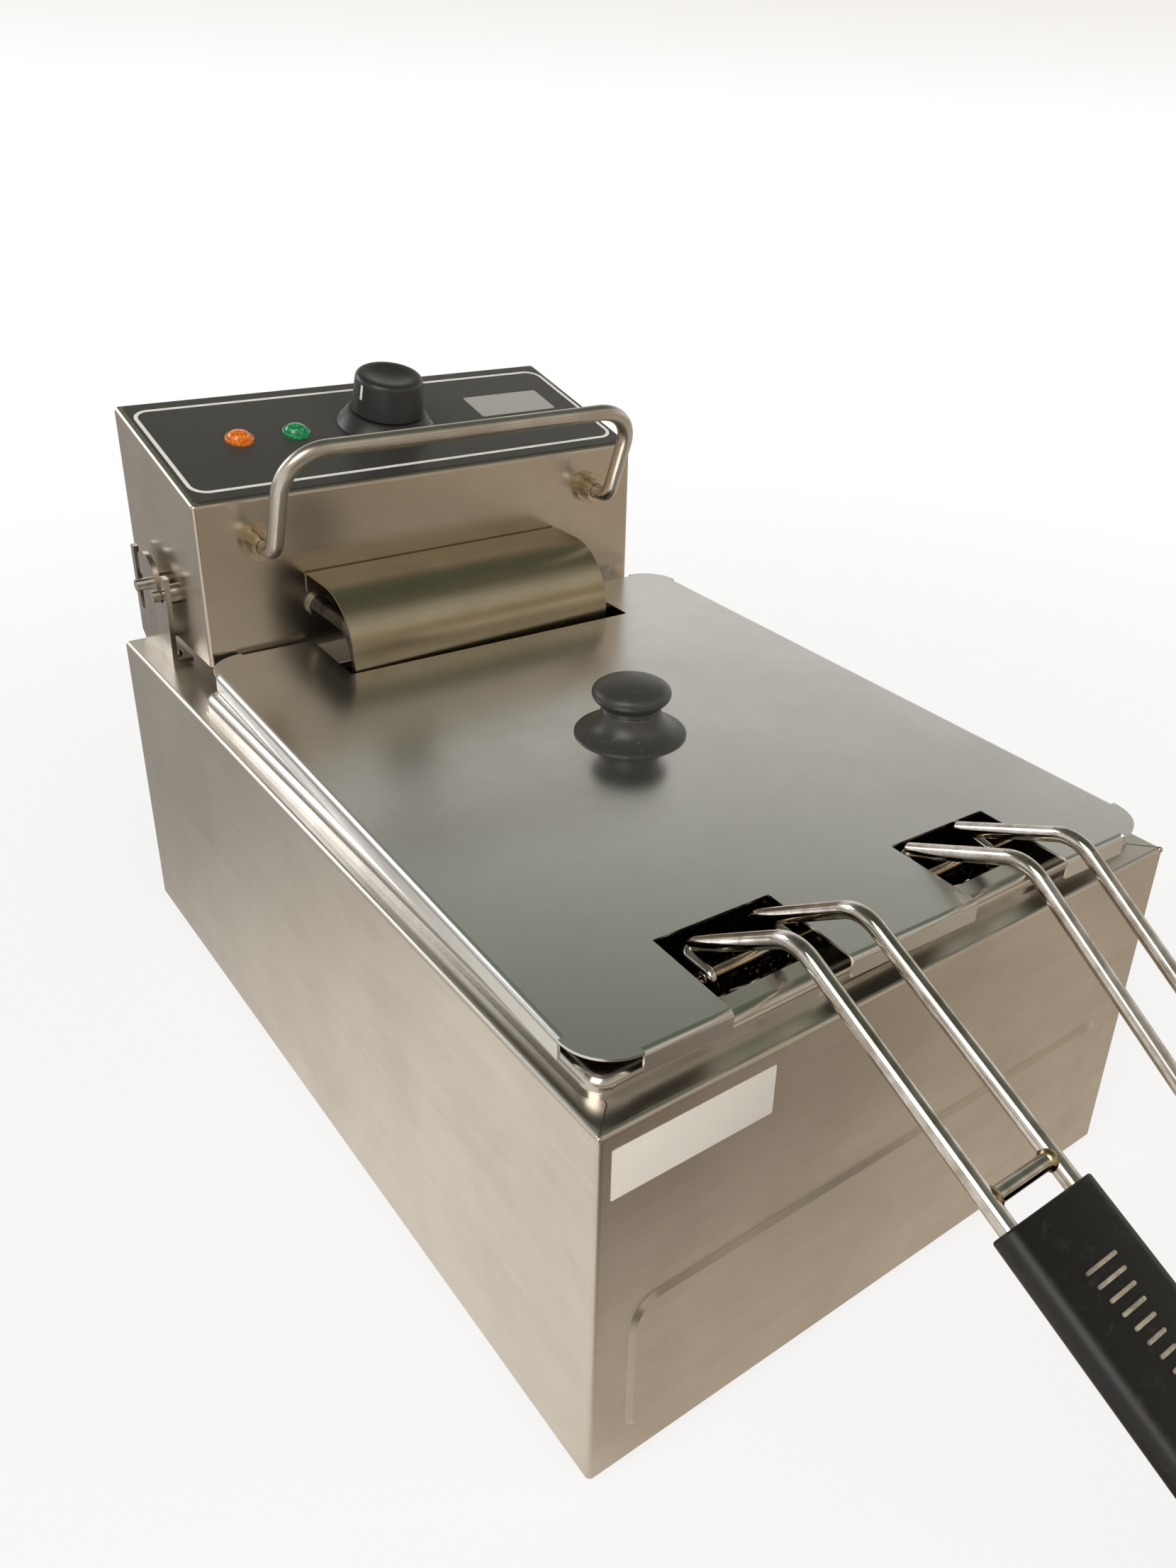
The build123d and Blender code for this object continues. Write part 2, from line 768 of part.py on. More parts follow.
with BuildPart() as head_floor:
    floor_front_y = head_front_y + head_sheet + hole_gap
    floor_back_y = inside_back_y - hole_gap
    with BuildSketch(Plane.XY.offset(head_bottom_z)):
        with Locations((0, (floor_front_y + floor_back_y) / 2)):
            Rectangle(head_width - 2 * (head_sheet + hole_gap), floor_back_y - floor_front_y)
    extrude(amount=head_sheet)
keep(head_floor, "head_floor")

# Back cover of the head, its screws and the cable gland
gland_z = head_bottom_z + gland_height
with BuildPart() as head_back_cover:
    with BuildSketch(Plane.XZ.offset(-head_cover_y)):
        with Locations((0, head_bottom_z + (head_back_height - panel_drop) / 2)):
            RectangleRounded(head_width, head_back_height - panel_drop, head_bend)
        with Locations(*back_screw_places):
            Circle(screw_hole, mode=Mode.SUBTRACT)
        with Locations((gland_x, gland_z)):
            Circle(gland_thread / 2 + hole_gap, mode=Mode.SUBTRACT)
    extrude(amount=-cover_sheet)
keep(head_back_cover, "head_back_cover")

with BuildPart() as back_cover_screws:
    with BuildSketch(Plane.XZ.offset(-head_back_y)):
        with Locations(*back_screw_places):
            Circle(screw_head / 2)
    extrude(amount=-screw_head_height, taper=screw_head_taper)
    with BuildSketch(Plane.XZ.offset(-head_back_y)):
        with Locations(*back_screw_places):
            Circle(screw_diameter / 2)
    extrude(amount=screw_reach)
keep(back_cover_screws, "back_cover_screws")

with BuildPart() as cable_gland:
    with BuildSketch(Plane.XZ.offset(-head_back_y)):
        with Locations((gland_x, gland_z)):
            RegularPolygon(gland_flange / 2, 6, major_radius=False)
    extrude(amount=-gland_flange_height)
    with BuildSketch(Plane.XZ.offset(-(head_back_y + gland_flange_height))):
        with Locations((gland_x, gland_z)):
            Circle(gland_dome / 2)
    extrude(amount=gland_flange_height - gland_reach, taper=gland_taper)
    with BuildSketch(Plane.XZ.offset(-head_back_y)):
        with Locations((gland_x, gland_z)):
            Circle(gland_thread / 2)
    extrude(amount=cover_sheet + gland_nut_height)
    with BuildSketch(Plane.XZ.offset(-head_cover_y)):
        with Locations((gland_x, gland_z)):
            RegularPolygon(gland_flange / 2, 6, major_radius=False)
    extrude(amount=gland_nut_height)
    with BuildSketch(Plane.XZ.offset(-(head_back_y + gland_reach))):
        with Locations((gland_x, gland_z)):
            Circle(gland_bore / 2)
    extrude(amount=gland_reach + cover_sheet + gland_nut_height, mode=Mode.SUBTRACT)
keep(cable_gland, "cable_gland")

# Control panel: overlay, blank plate, lamps and dial ring
with BuildPart() as control_overlay:
    with BuildSketch(panel):
        with Locations((0, panel_length / 2)):
            RectangleRounded(
                head_width - 2 * overlay_margin, panel_length - 2 * overlay_margin, overlay_corner
            )
        with Locations(power_place, heating_place):
            Circle(lamp_hole, mode=Mode.SUBTRACT)
        with Locations(dial_place):
            Circle(bushing_hole, mode=Mode.SUBTRACT)
    extrude(amount=overlay_thickness)
keep(control_overlay, "control_overlay")

with BuildPart() as rating_plate:
    with BuildSketch(panel_face):
        with Locations(on_panel(plate_x, plate_setback)):
            RectangleRounded(plate_width, plate_height, overlay_corner / 2)
    extrude(amount=plate_thickness)
keep(rating_plate, "rating_plate")

for name, place in (("power_lamp", power_place), ("heating_lamp", heating_place)):
    with BuildPart() as lamp:
        with BuildSketch(panel_face):
            with Locations(place):
                Circle(lamp_diameter / 2)
        extrude(amount=lamp_rim_height)
        with BuildSketch(panel_face.offset(lamp_rim_height)):
            with Locations(place):
                Circle(lamp_lens / 2)
        extrude(amount=lamp_lens_height - lamp_rim_height, taper=lamp_lens_taper)
        with BuildSketch(panel_face):
            with Locations(place):
                Circle(lamp_stem / 2)
        extrude(amount=-(overlay_thickness + head_sheet + lamp_stem_reach))
    keep(lamp, name)

with BuildPart() as lamp_bodies:
    with BuildSketch(panel_under):
        with Locations(power_place, heating_place):
            Circle(lamp_body_diameter / 2)
    extrude(amount=-lamp_body_length)
    with BuildSketch(panel_under):
        with Locations(power_place, heating_place):
            Circle(lamp_hole)
    extrude(amount=-(lamp_stem_reach + hole_gap), mode=Mode.SUBTRACT)
keep(lamp_bodies, "lamp_bodies")

with BuildPart() as dial_ring:
    dial_taper = degrees(atan2((dial_diameter - dial_top) / 2, dial_height))
    with BuildSketch(panel_face):
        with Locations(dial_place):
            Circle(dial_diameter / 2)
    extrude(amount=dial_height, taper=dial_taper)
    with BuildSketch(panel_face):
        with Locations(dial_place):
            Circle(dial_bore / 2)
    extrude(amount=dial_height, mode=Mode.SUBTRACT)
keep(dial_ring, "dial_ring")

# Thermostat: switch body, bushing, capillary and bulb as one piece
capillary_leg_y = leg_y + capillary_leg_gap
bulb_front_y = tank_front_y + bulb_front
bulb_back_y = bulb_front_y + bulb_length
thermostat_tail_y = head_front_y + capillary_setback
thermostat_tail_z = panel_front_z + capillary_setback * tan(panel_slope) - thermostat_depth / 2
with BuildPart() as thermostat:
    with BuildSketch(panel_under):
        with Locations(dial_place):
            Rectangle(thermostat_width, thermostat_length)
    extrude(amount=-thermostat_depth)
    with BuildSketch(panel_under):
        with Locations(dial_place):
            Circle(bushing_diameter / 2)
            Circle(shaft_diameter / 2 + shaft_gap, mode=Mode.SUBTRACT)
    extrude(amount=head_sheet + overlay_thickness + bushing_rise)
    thermostat_route = [
        (-bulb_x, thermostat_tail_y, thermostat_tail_z),
        (-bulb_x, thermostat_tail_y, capillary_z),
        (-bulb_x, capillary_leg_y, capillary_z),
        (-bulb_x, capillary_leg_y, element_z),
        (-bulb_x, bulb_back_y - bulb_diameter / 2, element_z),
    ]
    rod(thermostat_route, capillary_bend, capillary)
    with BuildSketch(Plane.XZ.offset(-bulb_front_y)):
        with Locations((-bulb_x, element_z)):
            Circle(bulb_diameter / 2)
    extrude(amount=-bulb_length)
keep(thermostat, "thermostat")

# Limit switch: body on the head floor, capillary and bulb as one piece
limit_y = head_front_y + limit_setback
limit_x = bulb_x - limit_edge + limit_width / 2
with BuildPart() as limit_switch:
    with BuildSketch(Plane.XY.offset(head_floor_z)):
        with Locations((limit_x, limit_y)):
            Rectangle(limit_width, limit_length)
    extrude(amount=limit_height)
    limit_route = [
        (bulb_x, limit_y, capillary_z),
        (bulb_x, capillary_leg_y, capillary_z),
        (bulb_x, capillary_leg_y, element_z),
        (bulb_x, bulb_back_y - bulb_diameter / 2, element_z),
    ]
    rod(limit_route, capillary_bend, capillary)
    with BuildSketch(Plane.XZ.offset(-bulb_front_y)):
        with Locations((bulb_x, element_z)):
            Circle(bulb_diameter / 2)
    extrude(amount=-bulb_length)
keep(limit_switch, "limit_switch")

# Terminal block on the head floor
with BuildPart() as terminal_block:
    with BuildSketch(Plane.XY.offset(head_floor_z)):
        with Locations((terminal_x, head_front_y + terminal_setback)):
            Rectangle(terminal_width, terminal_length)
    extrude(amount=terminal_height)
    with BuildSketch(Plane.XY.offset(head_floor_z + terminal_height)):
        with Locations((terminal_x, head_front_y + terminal_setback)):
            with GridLocations(terminal_width / terminal_poles, 0, terminal_poles, 1):
                Circle(terminal_well / 2)
    extrude(amount=-terminal_well_depth, mode=Mode.SUBTRACT)
keep(terminal_block, "terminal_block")

# Thermostat knob and its shaft
knob_base = panel_face.offset(dial_height + dial_knob_gap)
knob_taper = degrees(atan2((dial_knob_diameter - dial_knob_top) / 2, dial_knob_height))
with BuildPart() as thermostat_knob:
    with BuildSketch(knob_base):
        with Locations(dial_place):
            Circle(dial_knob_diameter / 2)
    extrude(amount=dial_knob_height, taper=knob_taper)
    with BuildSketch(knob_base.offset(dial_knob_height)):
        with Locations(dial_place):
            Circle(dial_knob_dish / 2)
    extrude(amount=-dial_dish_depth, taper=dial_dish_slope, mode=Mode.SUBTRACT)
    with BuildSketch(knob_base):
        with Locations(dial_place):
            Circle(shaft_diameter / 2 + hole_gap)
    extrude(amount=dial_knob_height - shaft_inset, mode=Mode.SUBTRACT)
keep(thermostat_knob, "thermostat_knob")

with BuildPart() as thermostat_shaft:
    shaft_start = panel_under.offset(slide_gap)
    shaft_length = head_sheet + overlay_thickness + dial_height + dial_knob_gap + dial_knob_height
    with BuildSketch(shaft_start):
        with Locations(dial_place):
            Circle(shaft_diameter / 2)
    extrude(amount=shaft_length - slide_gap - shaft_inset)
keep(thermostat_shaft, "thermostat_shaft")

# Heating element: two hairpins with their collars and nuts at the head's front wall
element_front_y = tank_front_y + element_front
element_shoulder_y = tank_front_y + element_shoulder
element_heel_y = tank_front_y + element_heel
element_tail_y = head_front_y + head_sheet + element_tail
with BuildPart() as heating_element:
    for hand in (-1, 1):
        middle_x = hand * element_middle_x
        outer_x = hand * element_outer_x
        inner_x = hand * element_inner_x
        hairpin = [
            (middle_x, element_tail_y, leg_z),
            (middle_x, leg_y, leg_z),
            (middle_x, leg_y, element_z),
            (middle_x, element_heel_y, element_z),
            (outer_x, element_shoulder_y, element_z),
            (outer_x, element_front_y, element_z),
            (inner_x, element_front_y, element_z),
            (inner_x, leg_y, element_z),
            (inner_x, leg_y, leg_z),
            (inner_x, element_tail_y, leg_z),
        ]
        bends = [element_bend] * 4 + [element_front_bend] * 2 + [element_bend] * 2
        rod(hairpin, bends, element_diameter)
keep(heating_element, "heating_element")

with BuildPart() as element_nuts:
    with BuildSketch(head_front_plane):
        with Locations(*leg_places):
            Circle(element_collar / 2)
            Circle(element_hole, mode=Mode.SUBTRACT)
    extrude(amount=element_collar_height)
    with BuildSketch(head_inside_plane):
        with Locations(*leg_places):
            RegularPolygon(element_nut / 2, 6, major_radius=False)
            Circle(element_hole, mode=Mode.SUBTRACT)
    extrude(amount=-element_nut_height)
keep(element_nuts, "element_nuts")

with BuildPart() as element_supports:
    support_low_z = tank_floor_z + slide_gap
    support_top_z = element_z + support_rise
    for place in support_places:
        with BuildSketch(Plane.XZ.offset(-(tank_front_y + place))):
            with Locations((0, (support_low_z + support_top_z) / 2)):
                Rectangle(2 * (element_outer_x + support_overhang), support_top_z - support_low_z)
            with Locations((0, element_z)):
                with GridLocations(2 * element_outer_x, 0, 2, 1):
                    Circle(element_hole, mode=Mode.SUBTRACT)
                with GridLocations(2 * element_inner_x, 0, 2, 1):
                    Circle(element_hole, mode=Mode.SUBTRACT)
                with GridLocations(2 * bulb_x, 0, 2, 1):
                    Circle(bulb_diameter / 2 + hole_gap, mode=Mode.SUBTRACT)
        extrude(amount=support_thickness)
keep(element_supports, "element_supports")

# Element cover: a bent sheet with a tab against the head's front
with BuildPart() as element_cover:
    with BuildSketch(Plane.YZ):
        with BuildLine():
            FilletPolyline(
                (head_front_y, cover_top_z - cover_tab),
                (head_front_y, cover_top_z),
                (cover_front_y, cover_top_z),
                (cover_front_y, cover_top_z - cover_length_down),
                radius=[casing_bend, cover_round],
            )
            offset(amount=cover_sheet, side=Side.LEFT)
        make_face()
    extrude(amount=cover_width / 2, both=True)
    with BuildSketch(head_front_plane):
        with Locations(*cover_screw_places):
            Circle(screw_hole)
    extrude(amount=2 * cover_sheet, mode=Mode.SUBTRACT)
keep(element_cover, "element_cover")

with BuildPart() as cover_screws:
    with BuildSketch(head_front_plane.offset(cover_sheet)):
        with Locations(*cover_screw_places):
            Circle(screw_head / 2)
    extrude(amount=screw_head_height, taper=screw_head_taper)
    with BuildSketch(head_front_plane.offset(cover_sheet)):
        with Locations(*cover_screw_places):
            Circle(screw_diameter / 2)
    extrude(amount=-screw_reach)
keep(cover_screws, "cover_screws")

# Lift handle with its bosses outside and nuts inside the head's front wall
handle_low_y = head_front_y - handle_reach
handle_top_y = handle_low_y - handle_lean
handle_top_z = boss_z + handle_rise
handle_tail_y = head_front_y + head_sheet + handle_tail
with BuildPart() as lift_handle:
    handle_route = [
        (-handle_x, handle_tail_y, boss_z),
        (-handle_x, handle_low_y, boss_z),
        (-handle_x, handle_top_y, handle_top_z),
        (handle_x, handle_top_y, handle_top_z),
        (handle_x, handle_low_y, boss_z),
        (handle_x, handle_tail_y, boss_z),
    ]
    handle_bends = [handle_low_bend, handle_top_bend, handle_top_bend, handle_low_bend]
    rod(handle_route, handle_bends, handle_rod)
keep(lift_handle, "lift_handle")

with BuildPart() as handle_bosses:
    with BuildSketch(head_front_plane):
        with Locations(*boss_places):
            Circle(boss_flange / 2)
            Circle(handle_hole, mode=Mode.SUBTRACT)
    extrude(amount=boss_flange_height)
    with BuildSketch(head_front_plane.offset(boss_flange_height)):
        with Locations(*boss_places):
            Circle(boss_sleeve / 2)
            Circle(handle_hole, mode=Mode.SUBTRACT)
    extrude(amount=boss_length - boss_flange_height)
keep(handle_bosses, "handle_bosses")

with BuildPart() as handle_nuts:
    with BuildSketch(head_inside_plane):
        with Locations(*boss_places):
            RegularPolygon(handle_nut / 2, 6, major_radius=False)
            Circle(handle_hole, mode=Mode.SUBTRACT)
    extrude(amount=-handle_nut_height)
keep(handle_nuts, "handle_nuts")

# Pivot and stop pins, fixed in the head's sides
pin_inside = Plane.YZ.offset(head_half - head_sheet)
pin_outside = Plane.YZ.offset(head_half)
for name, place_y, tip in (("pivot_pins", pin_y, pin_tip), ("stop_pins", stop_y, stop_tip)):
    with BuildPart() as pins:
        with BuildSketch(pin_inside):
            with Locations((place_y, pin_z)):
                RegularPolygon(pin_nut / 2, 6, major_radius=False)
        extrude(amount=-pin_nut_height)
        with BuildSketch(pin_inside):
            with Locations((place_y, pin_z)):
                Circle(pin_diameter / 2)
        extrude(amount=bracket_face + tip - head_half + head_sheet)
        with BuildSketch(pin_outside):
            with Locations((place_y, pin_z)):
                Circle(pin_collar / 2)
        extrude(amount=bracket_face - bracket_sheet - slide_gap - head_half)
        mirror(about=Plane.YZ)
    keep(pins, name)

# Lid: two bent sheets and four corners make one sheet, then notches and a rear cut-out
notch_back_y = lid_front_y + notch_depth
cutout_front_y = cover_front_y - cutout_front_gap
cutout_width = cover_width + 2 * cutout_side_gap
lid_knob_y = lid_front_y + lid_knob_setback
with BuildPart() as square_lid:
    with BuildSketch(Plane.XZ.offset(-lid_mid_y)):
        with BuildLine():
            FilletPolyline(
                (-lid_width / 2, lid_seat_z),
                (-lid_width / 2, lid_top_z),
                (lid_width / 2, lid_top_z),
                (lid_width / 2, lid_seat_z),
                radius=lid_bend,
            )
            offset(amount=lid_sheet, side=Side.RIGHT)
        make_face()
    extrude(amount=lid_length / 2 - lid_corner, both=True)
    with BuildSketch(Plane.YZ):
        with BuildLine():
            FilletPolyline(
                (lid_front_y, lid_seat_z),
                (lid_front_y, lid_top_z),
                (lid_back_y, lid_top_z),
                (lid_back_y, lid_seat_z),
                radius=lid_bend,
            )
            offset(amount=lid_sheet, side=Side.RIGHT)
        make_face()
    extrude(amount=lid_width / 2 - lid_corner, both=True)
    with BuildSketch(Plane.XY.offset(lid_top_z - lid_sheet)):
        with Locations((0, lid_mid_y)):
            RectangleRounded(lid_width, lid_length, lid_corner)
            Rectangle(lid_width - 2 * lid_corner, lid_length, mode=Mode.SUBTRACT)
            Rectangle(lid_width, lid_length - 2 * lid_corner, mode=Mode.SUBTRACT)
    extrude(amount=lid_sheet)
    with BuildSketch(Plane.XY.offset(lid_seat_z)):
        with Locations((-basket_centre, lid_front_y), (basket_centre, lid_front_y)):
            Rectangle(notch_width, 2 * notch_depth)
        with Locations((0, lid_back_y)):
            Rectangle(cutout_width, 2 * (lid_back_y - cutout_front_y))
        with Locations((0, lid_knob_y)):
            Circle(lid_screw / 2 + hole_gap)
    extrude(amount=lid_flange, mode=Mode.SUBTRACT)

# The loose lid lies a little turned on the tank
knob_line = Axis((0, lid_knob_y, 0), (0, 0, 1))
with BuildPart() as lid_plate:
    add(square_lid.part.rotate(knob_line, lid_turn))
keep(lid_plate, "lid_plate")

# Lid knob: flared base, mushroom cap and the screw from below
knob_floor = Plane.XY.offset(lid_top_z)
knob_edge_y = lid_knob_y + knob_base_diameter / 2
knob_neck_y = lid_knob_y + knob_neck / 2
knob_neck_z = lid_top_z + knob_base_height
with BuildPart() as lid_knob_base:
    with BuildSketch(Plane.YZ):
        with BuildLine():
            Polyline(
                (knob_neck_y, knob_neck_z),
                (lid_knob_y, knob_neck_z),
                (lid_knob_y, lid_top_z),
                (knob_edge_y, lid_top_z),
                (knob_edge_y, lid_top_z + knob_base_edge),
            )
            Spline(
                (knob_edge_y, lid_top_z + knob_base_edge),
                (knob_neck_y, knob_neck_z),
                tangents=((-1, 0.3), (-0.3, 1)),
            )
        make_face()
    revolve(axis=knob_line)
    with BuildSketch(knob_floor):
        with Locations((0, lid_knob_y)):
            Circle(lid_screw / 2 + hole_gap)
    extrude(amount=knob_base_height, mode=Mode.SUBTRACT)
keep(lid_knob_base, "lid_knob_base")

with BuildPart() as lid_knob:
    with BuildSketch(Plane.YZ):
        with BuildLine():
            Polyline(
                (lid_knob_y, lid_top_z + knob_height),
                (lid_knob_y, knob_neck_z),
                (knob_neck_y, knob_neck_z),
            )
            Spline(
                (knob_neck_y, knob_neck_z),
                (lid_knob_y + knob_cap / 2, knob_neck_z + knob_cap_rise),
                (lid_knob_y, lid_top_z + knob_height),
                tangents=((-0.2, 1), (-1, 0)),
            )
        make_face()
    revolve(axis=knob_line)
    with BuildSketch(knob_floor.offset(knob_base_height)):
        with Locations((0, lid_knob_y)):
            Circle(lid_screw / 2 + hole_gap)
    extrude(amount=lid_screw_reach - knob_base_height + hole_gap, mode=Mode.SUBTRACT)
keep(lid_knob, "lid_knob")

with BuildPart() as lid_knob_screw:
    with BuildSketch(knob_floor.offset(-lid_sheet)):
        with Locations((0, lid_knob_y)):
            Circle(lid_screw_head / 2)
    extrude(amount=-lid_screw_head_height)
    with BuildSketch(knob_floor.offset(-lid_sheet)):
        with Locations((0, lid_knob_y)):
            Circle(lid_screw / 2)
    extrude(amount=lid_sheet + lid_screw_reach)
keep(lid_knob_screw, "lid_knob_screw")

# Baskets: wire frame on legs, flat mesh panels, hooked handle and grip
frame_x = (basket_width - basket_wire) / 2
frame_front_y = basket_front_y + basket_wire / 2
frame_back_y = basket_back_y - basket_wire / 2
post_inset = basket_corner * (1 - 1 / sqrt(2))
post_x = frame_x - post_inset
post_y = (frame_front_y + post_inset, frame_back_y - post_inset)
leg_foot_z = tank_floor_z + slide_gap
panel_gap = basket_wire / 2 + hole_gap
post_gap = basket_post / 2 + hole_gap
wall_low_z = basket_floor_z + panel_gap
wall_high_z = basket_top_z - panel_gap
wall_height = wall_high_z - wall_low_z
wall_mid_z = (wall_low_z + wall_high_z) / 2
side_length = post_y[1] - post_y[0] - 2 * post_gap
end_width = 2 * (post_x - post_gap)
floor_width = 2 * (frame_x - panel_gap)
floor_length = frame_back_y - frame_front_y - 2 * panel_gap
net_corner = basket_corner - panel_gap

# Basket handle line: it rises from the hook, bends over the rim and falls to the grip
bend_y = front_y - bend_reach
rod_end_y = frame_front_y + rod_end_setback
rod_end_z = basket_top_z + rod_end_rise
bend_z = rod_end_z + (rod_end_y - bend_y) * tan(slope_rear)
hook_z = basket_top_z + (basket_wire + hook_wire) / 2 + slide_gap
hook_y = frame_front_y - (basket_wire + hook_wire) / 2 - slide_gap
grip_along = (0, -cos(slope_front), -sin(slope_front))


def along_front(distance):
    """Return the place on the falling part of the handle, from its bend."""
    return (bend_y - distance * cos(slope_front), bend_z - distance * sin(slope_front))


rod_tip_y, rod_tip_z = along_front(rod_front_run + rod_in_grip)
bar_y, bar_z = along_front(rod_front_run - bar_before_grip)
grip_y, grip_z = along_front(rod_front_run)


def net(place, width, height, corner):
    """Return a flat net on a plane: one rounded face with a square hole for each gap."""
    columns = int((width - mesh_wire) // mesh_pitch)
    rows = int((height - mesh_wire) // mesh_pitch)
    half_gap = (mesh_pitch - mesh_wire) / 2
    gap = Wire.make_polygon([(x * half_gap, y * half_gap) for x, y in ((-1, -1), (1, -1), (1, 1), (-1, 1))])
    middles = [
        ((column - (columns - 1) / 2) * mesh_pitch, (row - (rows - 1) / 2) * mesh_pitch)
        for column in range(columns)
        for row in range(rows)
    ]
    gaps = [gap.moved(Location(middle)) for middle in middles]
    edge = RectangleRounded(width, height, corner).face().outer_wire()
    return place * Face(edge, gaps)


# The handles hook over the front wire of the basket, where they slide and tilt
hook_line = Axis((0, frame_front_y, basket_top_z), (1, 0, 0))
handle_places = (
    ("left", -basket_centre, left_handle_shift, left_handle_tilt),
    ("right", basket_centre, right_handle_shift, right_handle_tilt),
)
for side, centre_x, handle_shift, handle_tilt in handle_places:
    handle_x = centre_x + handle_shift
    with BuildPart() as basket_frame:
        for ring_z in (basket_floor_z, basket_top_z):
            with BuildLine(Plane.XY.offset(ring_z)) as ring:
                FilletPolyline(
                    (centre_x + frame_x, frame_front_y),
                    (centre_x + frame_x, frame_back_y),
                    (centre_x - frame_x, frame_back_y),
                    (centre_x - frame_x, frame_front_y),
                    radius=basket_corner,
                    close=True,
                )
            with BuildSketch(Plane(origin=ring.line @ 0, z_dir=ring.line % 0)):
                Circle(basket_wire / 2)
            sweep(path=ring.line)
        with BuildSketch(Plane.XY.offset(leg_foot_z)):
            with Locations(*[(centre_x + x, y) for x in (-post_x, post_x) for y in post_y]):
                Circle(basket_post / 2)
        extrude(amount=basket_top_z - leg_foot_z)
    keep(basket_frame, f"{side}_basket_frame")

    walls = [
        (Plane.YZ.offset(centre_x - frame_x), basket_mid_y, wall_mid_z, side_length, wall_height),
        (Plane.YZ.offset(centre_x + frame_x), basket_mid_y, wall_mid_z, side_length, wall_height),
        (Plane.XZ.offset(-frame_front_y), centre_x, wall_mid_z, end_width, wall_height),
        (Plane.XZ.offset(-frame_back_y), centre_x, wall_mid_z, end_width, wall_height),
        (Plane.XY.offset(basket_floor_z), centre_x, basket_mid_y, floor_width, floor_length),
    ]
    nets = [
        net(plane.offset(-mesh_wire / 2) * Pos(across, along), width, height, net_corner)
        for plane, across, along, width, height in walls
    ]
    with BuildPart() as basket_mesh:
        extrude(nets, amount=mesh_wire, clean=False)
    keep(basket_mesh, f"{side}_basket_mesh")

    with BuildPart() as level_handle:
        for rod_side in (-1, 1):
            rod_x = handle_x + rod_side * grip_rod_spacing / 2
            hook_x = rod_x + rod_side * hook_spread
            rod_route = [
                (rod_x, rod_end_y, rod_end_z),
                (rod_x, bend_y, bend_z),
                (rod_x, rod_tip_y, rod_tip_z),
            ]
            rod(rod_route, rod_bend, grip_rod)
            hook_route = [
                (rod_x, rod_end_y, rod_end_z),
                (hook_x, rod_end_y, hook_z),
                (hook_x, hook_y, hook_z),
                (hook_x, hook_y, hook_z - hook_fall),
            ]
            rod(hook_route, hook_bend, hook_wire)
        with BuildSketch(Plane.YZ.offset(handle_x)):
            with Locations((bar_y, bar_z)):
                Circle(bar_diameter / 2)
        extrude(amount=grip_rod_spacing / 2, both=True)
    with BuildPart() as basket_handle:
        add(level_handle.part.rotate(hook_line, handle_tilt))
    keep(basket_handle, f"{side}_basket_handle")

    grip_start = Plane(origin=(handle_x, grip_y, grip_z), x_dir=(1, 0, 0), z_dir=grip_along)
    grip_top = Plane(
        origin=(handle_x, grip_y, grip_z), x_dir=(1, 0, 0), z_dir=(0, -sin(slope_front), cos(slope_front))
    ).offset(grip_edge)
    with BuildPart() as level_grip:
        with BuildSketch(grip_start):
            SlotCenterToCenter(grip_rod_spacing, grip_thickness)
            SlotCenterToCenter(grip_rod_spacing, grip_rod + 2 * hole_gap, mode=Mode.SUBTRACT)
        extrude(amount=grip_length)
        with BuildSketch(grip_top):
            for number in range(grip_rib_count):
                with Locations((0, -grip_rib_start - number * grip_rib_pitch)):
                    SlotOverall(grip_rib_length - number * grip_rib_shrink, grip_rib_width)
        extrude(amount=grip_rib_rise)
    with BuildPart() as basket_grip:
        add(level_grip.part.rotate(hook_line, handle_tilt))
    keep(basket_grip, f"{side}_basket_grip")
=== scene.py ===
import json
import logging
import math
from dataclasses import dataclass
from enum import Enum

import bmesh
import bpy
from mathutils import Matrix, Vector
from mathutils.geometry import interpolate_bezier


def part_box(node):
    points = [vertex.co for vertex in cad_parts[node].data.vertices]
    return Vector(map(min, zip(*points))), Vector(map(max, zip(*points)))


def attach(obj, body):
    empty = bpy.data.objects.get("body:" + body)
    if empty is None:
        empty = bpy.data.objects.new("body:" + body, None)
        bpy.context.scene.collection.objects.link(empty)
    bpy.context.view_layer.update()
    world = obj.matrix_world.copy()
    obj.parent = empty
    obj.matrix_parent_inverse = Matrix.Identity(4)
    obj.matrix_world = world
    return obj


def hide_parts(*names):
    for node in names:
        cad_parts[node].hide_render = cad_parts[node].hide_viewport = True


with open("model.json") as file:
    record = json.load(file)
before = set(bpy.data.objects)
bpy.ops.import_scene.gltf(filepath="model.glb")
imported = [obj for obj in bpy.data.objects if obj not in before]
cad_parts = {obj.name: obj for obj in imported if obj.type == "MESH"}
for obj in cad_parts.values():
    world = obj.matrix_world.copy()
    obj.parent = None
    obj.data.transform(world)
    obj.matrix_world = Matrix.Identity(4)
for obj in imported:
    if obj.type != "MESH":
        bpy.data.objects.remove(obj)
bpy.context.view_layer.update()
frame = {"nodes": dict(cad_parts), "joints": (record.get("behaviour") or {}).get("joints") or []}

LOG = logging.getLogger("deep_fryer")
MM = 0.001
FULL_TURN = 2 * math.pi
SMOOTH_ANGLE = math.radians(35)
MERGE_GAP = 0.002 * MM
FIELD_RISE = 1.5
STAND_UP = Matrix.Rotation(math.radians(90), 4, "X")
QUARTER_TURN = Matrix.Rotation(math.radians(90), 4, "Z")

# The colour sockets of a mix node are reached by number, because its float sockets share their names
MIX_FIRST = 6
MIX_SECOND = 7
MIX_RESULT = 2

Mesh = bmesh.types.BMesh
Tree = bpy.types.NodeTree
Node = bpy.types.Node
Socket = bpy.types.NodeSocket
Material = bpy.types.Material
Point = tuple[float, float, float]
Spot = tuple[float, float]
Profile = list[Spot]
Stops = tuple[tuple[float, str], ...]


